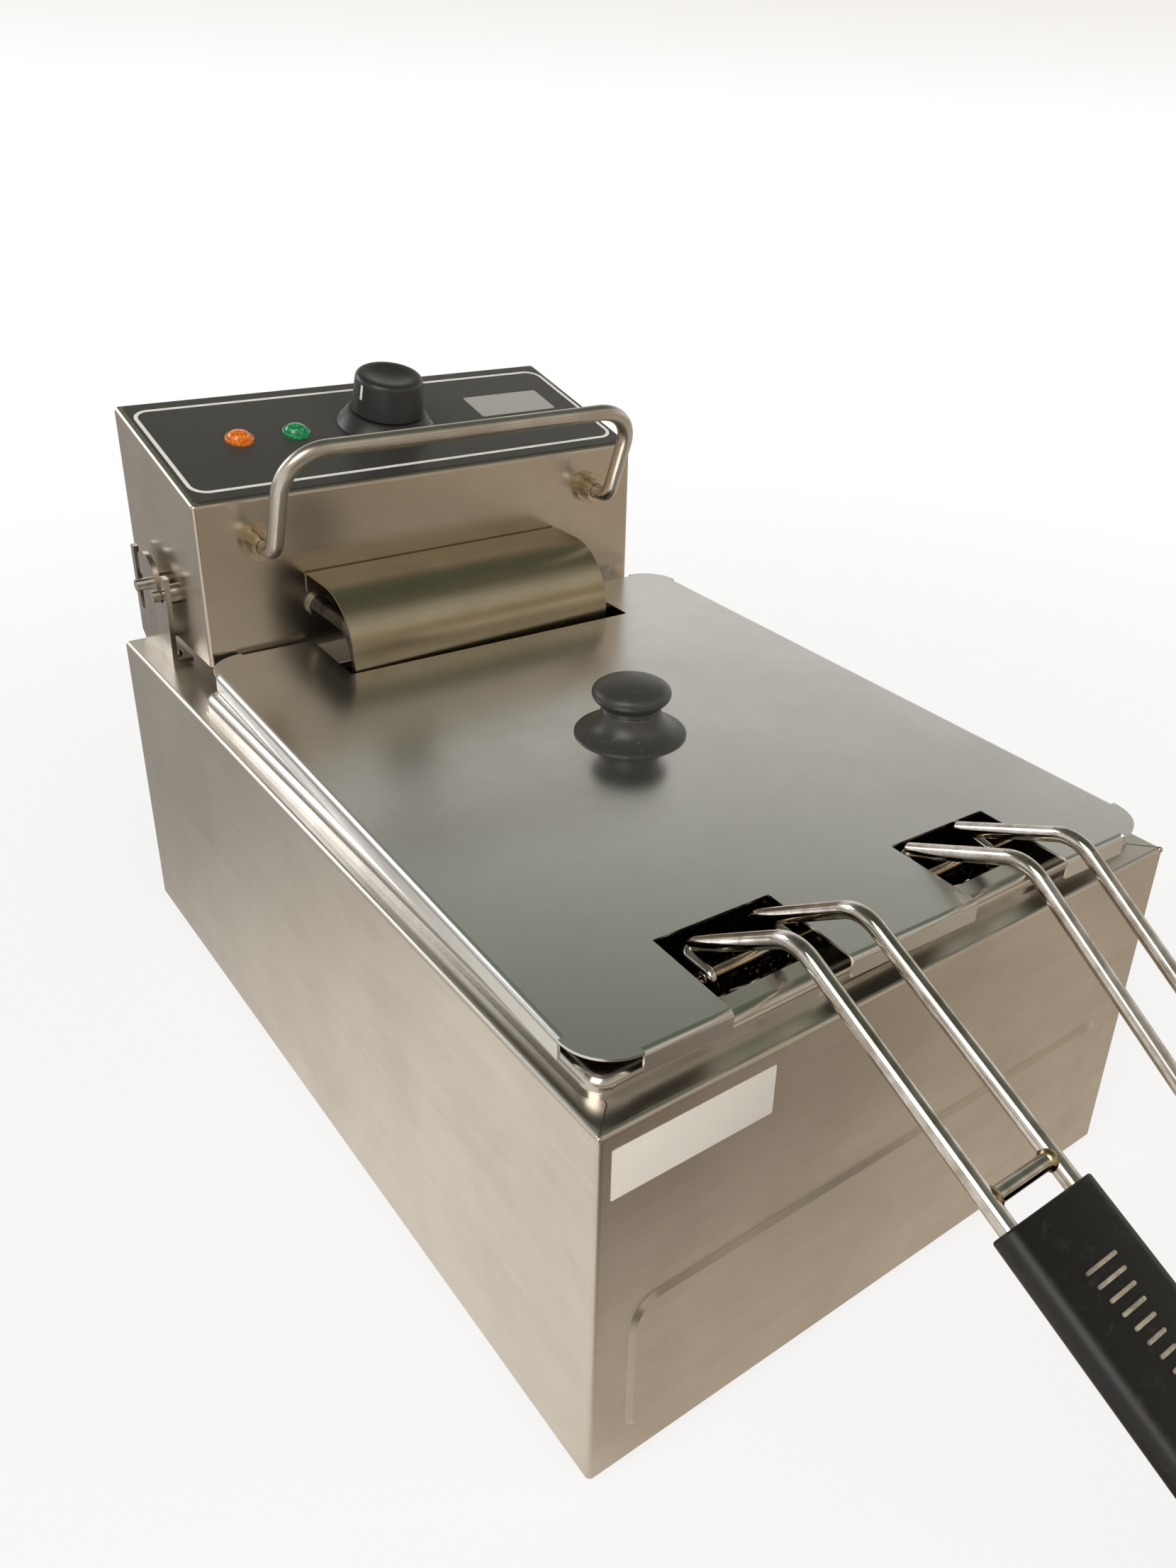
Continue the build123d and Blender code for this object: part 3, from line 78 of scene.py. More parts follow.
class Body(Enum):
    """The moving groups of the fryer."""

    CASING = "casing"
    HEAD = "head"
    KNOB = "knob"
    LID = "lid"
    LEFT_BASKET = "left_basket"
    RIGHT_BASKET = "right_basket"


class Grain(Enum):
    """The way a sheet was brushed, as the axis its fine lines run across."""

    LEVEL_ON_WALLS = (0.02, 0.02, 1.0)
    ALONG_DEPTH = (1.0, 0.02, 0.02)
    ALONG_WIDTH = (0.02, 1.0, 0.3)


def to_linear(colour: str) -> tuple[float, float, float, float]:
    """Turn an sRGB hex colour to linear light.

    Args:
        colour: six hex digits, with or without a leading #.

    Returns:
        Red, green, blue and an alpha of one.
    """
    digits = colour.lstrip("#")
    channels = [int(digits[i:i + 2], 16) / 255 for i in (0, 2, 4)]
    linear = [c / 12.92 if c <= 0.04045 else ((c + 0.055) / 1.055) ** 2.4 for c in channels]
    return (linear[0], linear[1], linear[2], 1.0)


def per_metre(size_mm: float) -> float:
    """Return the texture scale of a pattern whose features are that many millimetres apart."""
    return 1000.0 / size_mm


def add_node(tree: Tree, kind: str, settings: dict | None = None, links: dict | None = None) -> Node:
    """Add one shader node.

    Args:
        tree: the node tree that gets it.
        kind: the node's type name, without the ShaderNode that all begin with.
        settings: values by input name or number, or by attribute name.
        links: sockets to join, by input name or number.

    Returns:
        The new node.
    """
    node = tree.nodes.new(f"ShaderNode{kind}")
    for name, value in (settings or {}).items():
        if isinstance(name, int) or name in node.inputs:
            node.inputs[name].default_value = value
        else:
            setattr(node, name, value)
    for name, socket in (links or {}).items():
        tree.links.new(socket, node.inputs[name])
    return node


def start_material(name: str) -> tuple[Material, Tree, Socket]:
    """Make an empty node material.

    Args:
        name: the material's name.

    Returns:
        The material, its tree and the Object coordinates of the piece.
    """
    material = bpy.data.materials.new(name)
    material.use_nodes = True
    tree = material.node_tree
    tree.nodes.clear()
    coordinates = add_node(tree, "TexCoord")
    return material, tree, coordinates.outputs["Object"]


def finish_material(tree: Tree, settings: dict, colour: Node, bump: Node, rough: Node | None = None) -> None:
    """Add the shader and the output to a material's tree.

    Args:
        tree: the material's node tree.
        settings: the shader's constant values.
        colour: the mix node of its colour.
        bump: the bump node of its surface.
        rough: the range node of its roughness, where that varies.
    """
    links = {"Base Color": colour.outputs[MIX_RESULT], "Normal": bump.outputs["Normal"]}
    if rough is not None:
        links["Roughness"] = rough.outputs["Result"]
    shader = add_node(tree, "BsdfPrincipled", settings, links)
    add_node(tree, "OutputMaterial", {}, {"Surface": shader.outputs["BSDF"]})


@dataclass(frozen=True)
class BrushedSheet:
    """Brushed stainless sheet: fine lines one way, faint wipe marks and a soft wide highlight."""

    name: str
    light: str
    dark: str
    grain: Grain
    roughness: float
    # Real grain is about 0.1 mm; it is drawn as coarse as it needs to show in the render
    grain_mm: float = 0.9
    grain_share: float = 0.35
    grain_strength: float = 0.12
    grain_depth: float = 0.12 * MM
    brushed_share: float = 0.3
    cloud_mm: float = 60.0
    wipe_mm: float = 9.0
    wipe_length: float = 14.0
    wipe_turn: float = 0.6
    wipe_share: float = 0.5
    tone_spread: float = 0.34
    speck_mm: float = 5.0
    speck_range: Spot = (0.7, 0.78)
    speck_share: float = 0.5
    speck_colour: str = "#e9e6e0"
    duller: float = 0.05
    smoother: float = 0.03

    def build(self) -> Material:
        """Return the material."""
        material, tree, place = start_material(self.name)
        grain_scale = tuple(axis * per_metre(self.grain_mm) for axis in self.grain.value)
        grain_place = add_node(tree, "Mapping", {"Scale": grain_scale}, {"Vector": place})
        across = per_metre(self.wipe_mm)
        wipe_place = add_node(
            tree, "Mapping",
            {
                "Scale": (across / self.wipe_length, across / self.wipe_length, across),
                "Rotation": (self.wipe_turn, -self.wipe_turn, 0.0),
            },
            {"Vector": place},
        )
        patterns = (
            (grain_place.outputs["Vector"], 1.0, 3.0, 0.6, 0.0),
            (place, per_metre(self.cloud_mm), 5.0, 0.6, 0.4),
            (wipe_place.outputs["Vector"], 1.0, 6.0, 0.65, 0.25),
            (place, per_metre(self.speck_mm), 4.0, 0.8, 0.0),
        )
        grain, clouds, wipes, specks = (
            add_node(
                tree, "TexNoise",
                {"Scale": scale, "Detail": detail, "Roughness": rough, "Distortion": warp},
                {"Vector": vector},
            )
            for vector, scale, detail, rough, warp in patterns
        )
        marks = add_node(
            tree, "Math", {"operation": "MULTIPLY_ADD", 1: self.wipe_share},
            {0: wipes.outputs["Fac"], 2: clouds.outputs["Fac"]},
        )
        lined = add_node(
            tree, "Math", {"operation": "MULTIPLY_ADD", 1: self.grain_share},
            {0: grain.outputs["Fac"], 2: marks.outputs["Value"]},
        )
        middle = 0.5 * (1.0 + self.grain_share + self.wipe_share)
        tone = add_node(
            tree, "MapRange",
            {"From Min": middle - self.tone_spread, "From Max": middle + self.tone_spread},
            {"Value": lined.outputs["Value"]},
        )
        sheet = add_node(
            tree, "Mix",
            {"data_type": "RGBA", MIX_FIRST: to_linear(self.dark), MIX_SECOND: to_linear(self.light)},
            {0: tone.outputs["Result"]},
        )
        specked = add_node(
            tree, "MapRange",
            {"From Min": self.speck_range[0], "From Max": self.speck_range[1], "To Max": self.speck_share},
            {"Value": specks.outputs["Fac"]},
        )
        colour = add_node(
            tree, "Mix", {"data_type": "RGBA", MIX_SECOND: to_linear(self.speck_colour)},
            {0: specked.outputs["Result"], MIX_FIRST: sheet.outputs[MIX_RESULT]},
        )
        rough = add_node(
            tree, "MapRange",
            {"To Min": self.roughness + self.duller, "To Max": self.roughness - self.smoother},
            {"Value": tone.outputs["Result"]},
        )
        bump = add_node(
            tree, "Bump", {"Strength": self.grain_strength, "Distance": self.grain_depth},
            {"Height": grain.outputs["Fac"]},
        )
        settings = {"Metallic": 1.0, "Anisotropic": self.brushed_share}
        finish_material(tree, settings, colour, bump, rough)
        return material


@dataclass(frozen=True)
class PlatedMetal:
    """Plated or polished metal: bright, with faint pits, smears and darker patches."""

    name: str
    light: str
    dark: str
    roughness: float
    smear_mm: float = 14.0
    smear_range: Spot = (0.35, 0.62)
    dull_range: Spot = (0.3, 0.7)
    duller: float = 0.1
    # Real pits are too fine to show, so they are drawn coarser
    pit_mm: float = 1.6
    pit_strength: float = 0.06
    pit_depth: float = 0.1 * MM

    def build(self) -> Material:
        """Return the material."""
        material, tree, place = start_material(self.name)
        smears = add_node(
            tree, "TexNoise", {"Scale": per_metre(self.smear_mm), "Detail": 5.0, "Roughness": 0.6},
            {"Vector": place},
        )
        pits = add_node(
            tree, "TexNoise", {"Scale": per_metre(self.pit_mm), "Detail": 2.0}, {"Vector": place}
        )
        tone = add_node(
            tree, "MapRange",
            {"From Min": self.smear_range[0], "From Max": self.smear_range[1]},
            {"Value": smears.outputs["Fac"]},
        )
        colour = add_node(
            tree, "Mix",
            {"data_type": "RGBA", MIX_FIRST: to_linear(self.dark), MIX_SECOND: to_linear(self.light)},
            {0: tone.outputs["Result"]},
        )
        rough = add_node(
            tree, "MapRange",
            {
                "From Min": self.dull_range[0], "From Max": self.dull_range[1],
                "To Min": self.roughness + self.duller, "To Max": self.roughness,
            },
            {"Value": smears.outputs["Fac"]},
        )
        bump = add_node(
            tree, "Bump", {"Strength": self.pit_strength, "Distance": self.pit_depth},
            {"Height": pits.outputs["Fac"]},
        )
        finish_material(tree, {"Metallic": 1.0}, colour, bump, rough)
        return material


@dataclass(frozen=True)
class Moulding:
    """Moulded plastic, rubber, paper or print: a fine skin grain, with scuffs that lighten it."""

    name: str
    body: str
    scuff: str
    roughness: float
    scuff_from: float = 0.58
    scuff_to: float = 0.8
    scuff_mm: float = 7.0
    # Real skin grain is finer; it is drawn as coarse as it needs to show
    skin_mm: float = 0.8
    skin_strength: float = 0.15
    skin_depth: float = 0.1 * MM
    scuff_roughness: float = 0.25
    ior: float = 1.5

    def build(self) -> Material:
        """Return the material."""
        material, tree, place = start_material(self.name)
        scuffs = add_node(
            tree, "TexNoise",
            {"Scale": per_metre(self.scuff_mm), "Detail": 6.0, "Roughness": 0.68, "Distortion": 0.5},
            {"Vector": place},
        )
        skin = add_node(
            tree, "TexNoise", {"Scale": per_metre(self.skin_mm), "Detail": 2.0}, {"Vector": place}
        )
        rubbed_and_highlit = add_node(
            tree, "MapRange", {"From Min": self.scuff_from, "From Max": self.scuff_to},
            {"Value": scuffs.outputs["Fac"]},
        )
        colour = add_node(
            tree, "Mix",
            {"data_type": "RGBA", MIX_FIRST: to_linear(self.body), MIX_SECOND: to_linear(self.scuff)},
            {0: rubbed_and_highlit.outputs["Result"]},
        )
        rough = add_node(
            tree, "MapRange",
            {"To Min": self.roughness, "To Max": min(1.0, self.roughness + self.scuff_roughness)},
            {"Value": rubbed_and_highlit.outputs["Result"]},
        )
        bump = add_node(
            tree, "Bump", {"Strength": self.skin_strength, "Distance": self.skin_depth},
            {"Height": skin.outputs["Fac"]},
        )
        finish_material(tree, {"IOR": self.ior}, colour, bump, rough)
        return material


@dataclass(frozen=True)
class LampLens:
    """Clear tinted acrylic over a honeycomb of prisms, which breaks the light into small cells."""

    name: str
    light: str
    dark: str
    cell_mm: float = 1.9
    edge_range: Spot = (0.15, 0.6)
    prism_depth: float = 0.4 * MM
    glow: float = 0.12

    def build(self) -> Material:
        """Return the material."""
        material, tree, place = start_material(self.name)
        cells = add_node(
            tree, "TexVoronoi", {"Scale": per_metre(self.cell_mm), "Randomness": 0.35},
            {"Vector": place},
        )
        edge = add_node(
            tree, "MapRange",
            {"From Min": self.edge_range[0], "From Max": self.edge_range[1]},
            {"Value": cells.outputs["Distance"]},
        )
        colour = add_node(
            tree, "Mix",
            {"data_type": "RGBA", MIX_FIRST: to_linear(self.light), MIX_SECOND: to_linear(self.dark)},
            {0: edge.outputs["Result"]},
        )
        bump = add_node(
            tree, "Bump", {"Strength": 0.5, "Distance": self.prism_depth, "invert": True},
            {"Height": cells.outputs["Distance"]},
        )
        settings = {
            "Roughness": 0.12, "IOR": 1.49, "Transmission Weight": 0.25, "Coat Weight": 0.6,
            "Emission Color": to_linear(self.light), "Emission Strength": self.glow,
        }
        finish_material(tree, settings, colour, bump)
        return material


class Finishes:
    """Every finish on the fryer, built once."""

    def __init__(self) -> None:
        """Build all the materials."""
        self.casing = BrushedSheet(
            "brushed_stainless_casing", "#e0dad1", "#cbc4b9", Grain.LEVEL_ON_WALLS, 0.3
        ).build()
        self.head = BrushedSheet(
            "brushed_stainless_head", "#d8cfc3", "#c2b8a9", Grain.LEVEL_ON_WALLS, 0.22, wipe_share=0.3
        ).build()
        self.lid = BrushedSheet(
            "fine_brushed_stainless_lid", "#e5e5e3", "#d8d7d4", Grain.ALONG_DEPTH, 0.22, grain_mm=0.6,
            wipe_share=0.25,
        ).build()
        self.cover = BrushedSheet(
            "heat_tinted_cover", "#bdb39b", "#a2987f", Grain.ALONG_WIDTH, 0.28, cloud_mm=45.0, wipe_share=0.3
        ).build()
        self.tank = BrushedSheet(
            "pressed_stainless_tank", "#dbd7d0", "#bcb6ad", Grain.ALONG_WIDTH, 0.18, wipe_share=0.3
        ).build()
        self.bracket = BrushedSheet(
            "stamped_stainless_bracket", "#c9c4bc", "#9f978c", Grain.LEVEL_ON_WALLS, 0.24, cloud_mm=20.0
        ).build()
        self.wire = PlatedMetal("plated_basket_wire", "#d9cdb8", "#a3937c", 0.12).build()
        self.chrome = PlatedMetal("chromed_handle_rod", "#dcd8d2", "#b0a79b", 0.07, smear_mm=9.0).build()
        self.rod = PlatedMetal("satin_handle_rod", "#d2ccc3", "#bfb8ad", 0.24, smear_mm=30.0).build()
        self.zinc = PlatedMetal("zinc_plated_fastener", "#cfccc5", "#98948c", 0.22).build()
        self.boss = PlatedMetal("plated_handle_boss", "#dfd3bd", "#b9ab92", 0.16).build()
        self.weld = PlatedMetal("weld_bead", "#cdb892", "#7d6a4c", 0.2, smear_mm=3.0).build()
        self.element = PlatedMetal("heat_darkened_steel", "#6d6862", "#3c3733", 0.38).build()
        self.silver = Moulding("blank_silver_foil", "#b0b0ae", "#9f9f9d", 0.45, skin_strength=0.02).build()
        self.film = Moulding(
            "black_printed_film", "#3e3e3d", "#525251", 0.3, scuff_from=0.62, scuff_to=0.9, scuff_mm=12.0,
            skin_strength=0.03,
        ).build()
        self.black = Moulding(
            "black_phenolic_moulding", "#393938", "#858480", 0.36, scuff_from=0.6, scuff_to=0.86,
            scuff_mm=3.5,
        ).build()
        self.dial = Moulding("black_dial_moulding", "#2a2a2b", "#4a4a4b", 0.34, scuff_from=0.66).build()
        self.grip = Moulding(
            "black_coated_grip", "#0f0e0d", "#353230", 0.42, scuff_from=0.56, scuff_to=0.9, scuff_mm=6.0
        ).build()
        # Pale rib colour: partly rubbed coating, partly a painted highlight along the ribs
        self.rubbed_and_highlit = Moulding(
            "rubbed_and_highlit_grip_rib", "#6f695d", "#a49d8d", 0.4, scuff_from=0.4, scuff_to=0.6
        ).build()
        self.print = Moulding("white_print", "#f4f4f2", "#dededc", 0.45, skin_strength=0.02).build()
        self.paper = Moulding(
            "white_label_paper", "#d4d1cc", "#c4bfb8", 0.5, scuff_from=0.6, scuff_to=0.95, scuff_mm=16.0
        ).build()
        self.rubber = Moulding("moulded_rubber", "#1a1a1a", "#3b3b3b", 0.7).build()
        self.ivory = Moulding("ivory_moulding", "#d9d4c6", "#c2bba9", 0.45).build()
        self.seam = Moulding("dark_seam", "#3a3530", "#6a6158", 0.6).build()
        self.amber = LampLens("amber_lens", "#ff9a2e", "#c65a06").build()
        self.green = LampLens("green_lens", "#35c07e", "#04623a").build()


def dress(finishes: Finishes) -> None:
    """Give every CAD node its finish.

    Args:
        finishes: the built materials.
    """
    by_finish = [
        (finishes.casing, ("casing_wrap", "back_panel", "base_plate", "rear_deck")),
        (finishes.head, ("head_shell", "head_floor", "head_back_cover")),
        (finishes.cover, ("element_cover",)),
        (finishes.bracket, ("hinge_bracket_left", "hinge_bracket_right")),
        (finishes.lid, ("lid_plate",)),
        (finishes.tank, ("tank",)),
        (finishes.wire, (
            "left_basket_frame", "right_basket_frame", "left_basket_mesh", "right_basket_mesh",
        )),
        (finishes.rod, ("lift_handle",)),
        (finishes.chrome, ("left_basket_handle", "right_basket_handle")),
        (finishes.zinc, (
            "back_panel_screws", "foot_screws", "bracket_rivets", "back_cover_screws", "cover_screws",
            "handle_nuts", "element_nuts", "pivot_pins", "stop_pins", "lid_knob_screw",
            "thermostat_shaft",
        )),
        (finishes.element, ("heating_element", "element_supports", "thermostat", "limit_switch")),
        (finishes.film, ("control_overlay",)),
        (finishes.silver, ("rating_plate",)),
        (finishes.boss, ("handle_bosses",)),
        (finishes.amber, ("power_lamp",)),
        (finishes.green, ("heating_lamp",)),
        (finishes.ivory, ("lamp_bodies", "terminal_block")),
        (finishes.black, ("lid_knob", "lid_knob_base", "cable_gland")),
        (finishes.dial, ("dial_ring", "thermostat_knob")),
        (finishes.grip, ("left_basket_grip", "right_basket_grip")),
        (finishes.rubber, ("rubber_feet",)),
    ]
    for material, names in by_finish:
        for name in names:
            slots = frame["nodes"][name].data.materials
            slots.clear()
            slots.append(material)
            LOG.info("dressed %s in %s", name, material.name)


def make_piece(
    shape: Mesh,
    name: str,
    finish: Material,
    body: Body,
    replaced: tuple[str, ...] = (),
) -> None:
    """Turn a closed shape into a piece of the fryer.

    Args:
        shape: the closed mesh, already in its place; it is freed here.
        name: the piece's name.
        finish: its material.
        body: the moving group that it rides on.
        replaced: the CAD nodes that it stands for.
    """
    bmesh.ops.remove_doubles(shape, verts=shape.verts, dist=MERGE_GAP)
    bmesh.ops.recalc_face_normals(shape, faces=shape.faces)
    mesh = bpy.data.meshes.new(name)
    shape.to_mesh(mesh)
    shape.free()
    mesh.polygons.foreach_set("use_smooth", [True] * len(mesh.polygons))
    mesh.set_sharp_from_angle(angle=SMOOTH_ANGLE)
    mesh.materials.append(finish)
    piece = bpy.data.objects.new(name, mesh)
    bpy.context.scene.collection.objects.link(piece)
    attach(piece, body.value)
    if replaced:
        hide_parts(*replaced)
    LOG.info("built %s on %s", name, body.value)


def arc(centre: Spot, radius: float, start: float, end: float, steps: int) -> Profile:
    """Return points along an arc of a profile.

    Args:
        centre: the arc's centre, as distance from the axis and height.
        radius: the arc's radius.
        start: the first angle in degrees, from straight outwards.
        end: the last angle in degrees.
        steps: how many chords the arc has.

    Returns:
        The points, both ends included.
    """
    turns = [math.radians(start + (end - start) * step / steps) for step in range(steps + 1)]
    return [(centre[0] + radius * math.cos(turn), centre[1] + radius * math.sin(turn)) for turn in turns]


def bend(start: Spot, first: Spot, second: Spot, end: Spot, steps: int = 12) -> Profile:
    """Return points along a smooth bend of a profile.

    Args:
        start: the first point, as distance from the axis and height.
        first: the handle that the bend leaves towards.
        second: the handle that it arrives from.
        end: the last point.
        steps: how many points it has.

    Returns:
        The points, both ends included.
    """
    handles = [Vector((spot[0], spot[1], 0)) for spot in (start, first, second, end)]
    return [(point.x, point.y) for point in interpolate_bezier(*handles, steps)]


def lathe(shape: Mesh, profile: Profile, place: Matrix, steps: int = 64) -> None:
    """Spin a profile about the local Z axis into a mesh.

    Args:
        shape: the mesh that gets the turned form.
        profile: points in millimetres, as distance from the axis and height.
        place: where the form stands.
        steps: how many steps a full turn has.
    """
    points = [shape.verts.new((radius * MM, 0, height * MM)) for radius, height in profile]
    lines = [shape.edges.new(pair) for pair in zip(points, points[1:])]
    before = set(shape.verts) - set(points)
    bmesh.ops.spin(
        shape, geom=points + lines, axis=(0, 0, 1), cent=(0, 0, 0), angle=FULL_TURN, steps=steps,
        use_merge=True,
    )
    turned = [vert for vert in shape.verts if vert not in before]
    bmesh.ops.transform(shape, matrix=place, verts=turned)


def rounded_loop(
    shape: Mesh, width: float, height: float, corner: float, steps: int = 8
) -> list[bmesh.types.BMEdge]:
    """Add the outline of a rounded rectangle, in millimetres, to the local XY plane.

    Args:
        shape: the mesh that gets the outline.
        width: its size along X.
        height: its size along Y.
        corner: its corner radius.
        steps: the points in each corner.

    Returns:
        The outline's edges.
    """
    made = bmesh.ops.create_circle(shape, radius=corner * MM, segments=4 * steps)["verts"]
    half_step = Matrix.Rotation(math.pi / (4 * steps), 3, "Z")
    bmesh.ops.rotate(shape, verts=made, cent=(0, 0, 0), matrix=half_step)
    reach = Vector((width / 2 - corner, height / 2 - corner, 0)) * MM
    for vert in made:
        vert.co.x += math.copysign(reach.x, vert.co.x)
        vert.co.y += math.copysign(reach.y, vert.co.y)
    return list({edge for vert in made for edge in vert.link_edges})


def raise_faces(shape: Mesh, faces: list[bmesh.types.BMFace], height: float) -> list:
    """Extrude flat faces upwards into a closed solid.

    Args:
        shape: the mesh that holds the faces.
        faces: the faces to raise.
        height: how far, in millimetres.

    Returns:
        The raised faces.
    """
    grown = bmesh.ops.extrude_face_region(shape, geom=faces, use_keep_orig=True)["geom"]
    top = [item for item in grown if isinstance(item, bmesh.types.BMVert)]
    bmesh.ops.translate(shape, verts=top, vec=(0, 0, height * MM))
    return [item for item in grown if isinstance(item, bmesh.types.BMFace)]


def add_plate(
    shape: Mesh, size: Point, corner: float, edge: float, place: Matrix
) -> None:
    """Add a rounded plate with a softened upper edge, which lies on the local XY plane.

    Args:
        shape: the mesh that gets it.
        size: its width, height and thickness in millimetres.
        corner: its corner radius.
        edge: the bevel of its upper edge.
        place: the middle of its underside, with Z out of the plate.
    """
    before = set(shape.verts)
    loop = rounded_loop(shape, size[0], size[1], corner)
    base = bmesh.ops.contextual_create(shape, geom=loop)["faces"]
    top = raise_faces(shape, base, size[2])
    rim = [line for face in top for line in face.edges]
    bmesh.ops.bevel(
        shape, geom=rim, offset=edge * MM, segments=2, profile=0.5, affect="EDGES", material=-1
    )
    made = [vert for vert in shape.verts if vert not in before]
    bmesh.ops.transform(shape, matrix=place, verts=made)


def add_lump(shape: Mesh, size: Point, place: Matrix, bead: bool = False) -> None:
    """Add a small plain bar, or a rounded bead such as a weld.

    Args:
        shape: the mesh that gets it.
        size: its sizes in millimetres.
        place: its middle and direction.
        bead: whether it is rounded.
    """
    if bead:
        made = bmesh.ops.create_uvsphere(shape, u_segments=16, v_segments=10, radius=0.5)["verts"]
    else:
        made = bmesh.ops.create_cube(shape, size=1.0)["verts"]
    bmesh.ops.scale(shape, verts=made, vec=[side * MM for side in size])
    bmesh.ops.transform(shape, matrix=place, verts=made)


@dataclass
class LidKnob:
    """The black moulded knob of the lid: a flared base and a mushroom cap."""

    finishes: Finishes
    base_radius: float = 24.5
    base_edge: float = 0.8
    base_height: float = 11.6
    neck_radius: float = 13.15
    neck_height: float = 13.0
    seam: float = 0.3
    cap_radius: float = 17.2
    cap_middle: float = 19.2
    top_height: float = 25.0
    flare_foot: Spot = (7.0, 1.6)
    flare_head: Spot = (0.9, 5.6)
    under_rise: float = 2.6
    under_drop: float = 3.6
    dome_rise: float = 3.4
    dome_share: float = 0.62

    def place(self) -> Matrix:
        """Return the knob's seat on the lid."""
        low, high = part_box("lid_knob_base")
        return Matrix.Translation(((low.x + high.x) / 2, (low.y + high.y) / 2, low.z))

    def base_profile(self) -> Profile:
        """Return the flared base, concave from its thin edge up to the neck."""
        top = self.base_height - self.seam
        flare = bend(
            (self.base_radius - self.seam, self.base_edge),
            (self.base_radius - self.flare_foot[0], self.base_edge + self.flare_foot[1]),
            (self.neck_radius + self.flare_head[0], top - self.flare_head[1]), (self.neck_radius, top), 18,
        )
        edge = [(self.base_radius, 0), (self.base_radius, self.base_edge - self.seam)]
        neck = [(self.neck_radius - self.seam, self.base_height), (0, self.base_height)]
        return [(0, 0)] + edge + flare + neck

    def cap_profile(self) -> Profile:
        """Return the cap, from the neck round its full edge to a low dome."""
        neck = [(0, self.base_height), (self.neck_radius - self.seam, self.base_height)]
        under = bend(
            (self.neck_radius, self.neck_height), (self.neck_radius, self.neck_height + self.under_rise),
            (self.cap_radius, self.cap_middle - self.under_drop), (self.cap_radius, self.cap_middle), 14,
        )
        dome = bend(
            (self.cap_radius, self.cap_middle), (self.cap_radius, self.cap_middle + self.dome_rise),
            (self.cap_radius * self.dome_share, self.top_height), (0, self.top_height), 18,
        )
        return neck + [(self.neck_radius, self.base_height + self.seam)] + under + dome[1:]

    def build(self) -> None:
        """Make the two mouldings."""
        for name, node, profile in (
            ("lid_knob_flare", "lid_knob_base", self.base_profile()),
            ("lid_knob_cap", "lid_knob", self.cap_profile()),
        ):
            shape = bmesh.new()
            lathe(shape, profile, self.place())
            make_piece(shape, name, self.finishes.black, Body.LID, (node,))


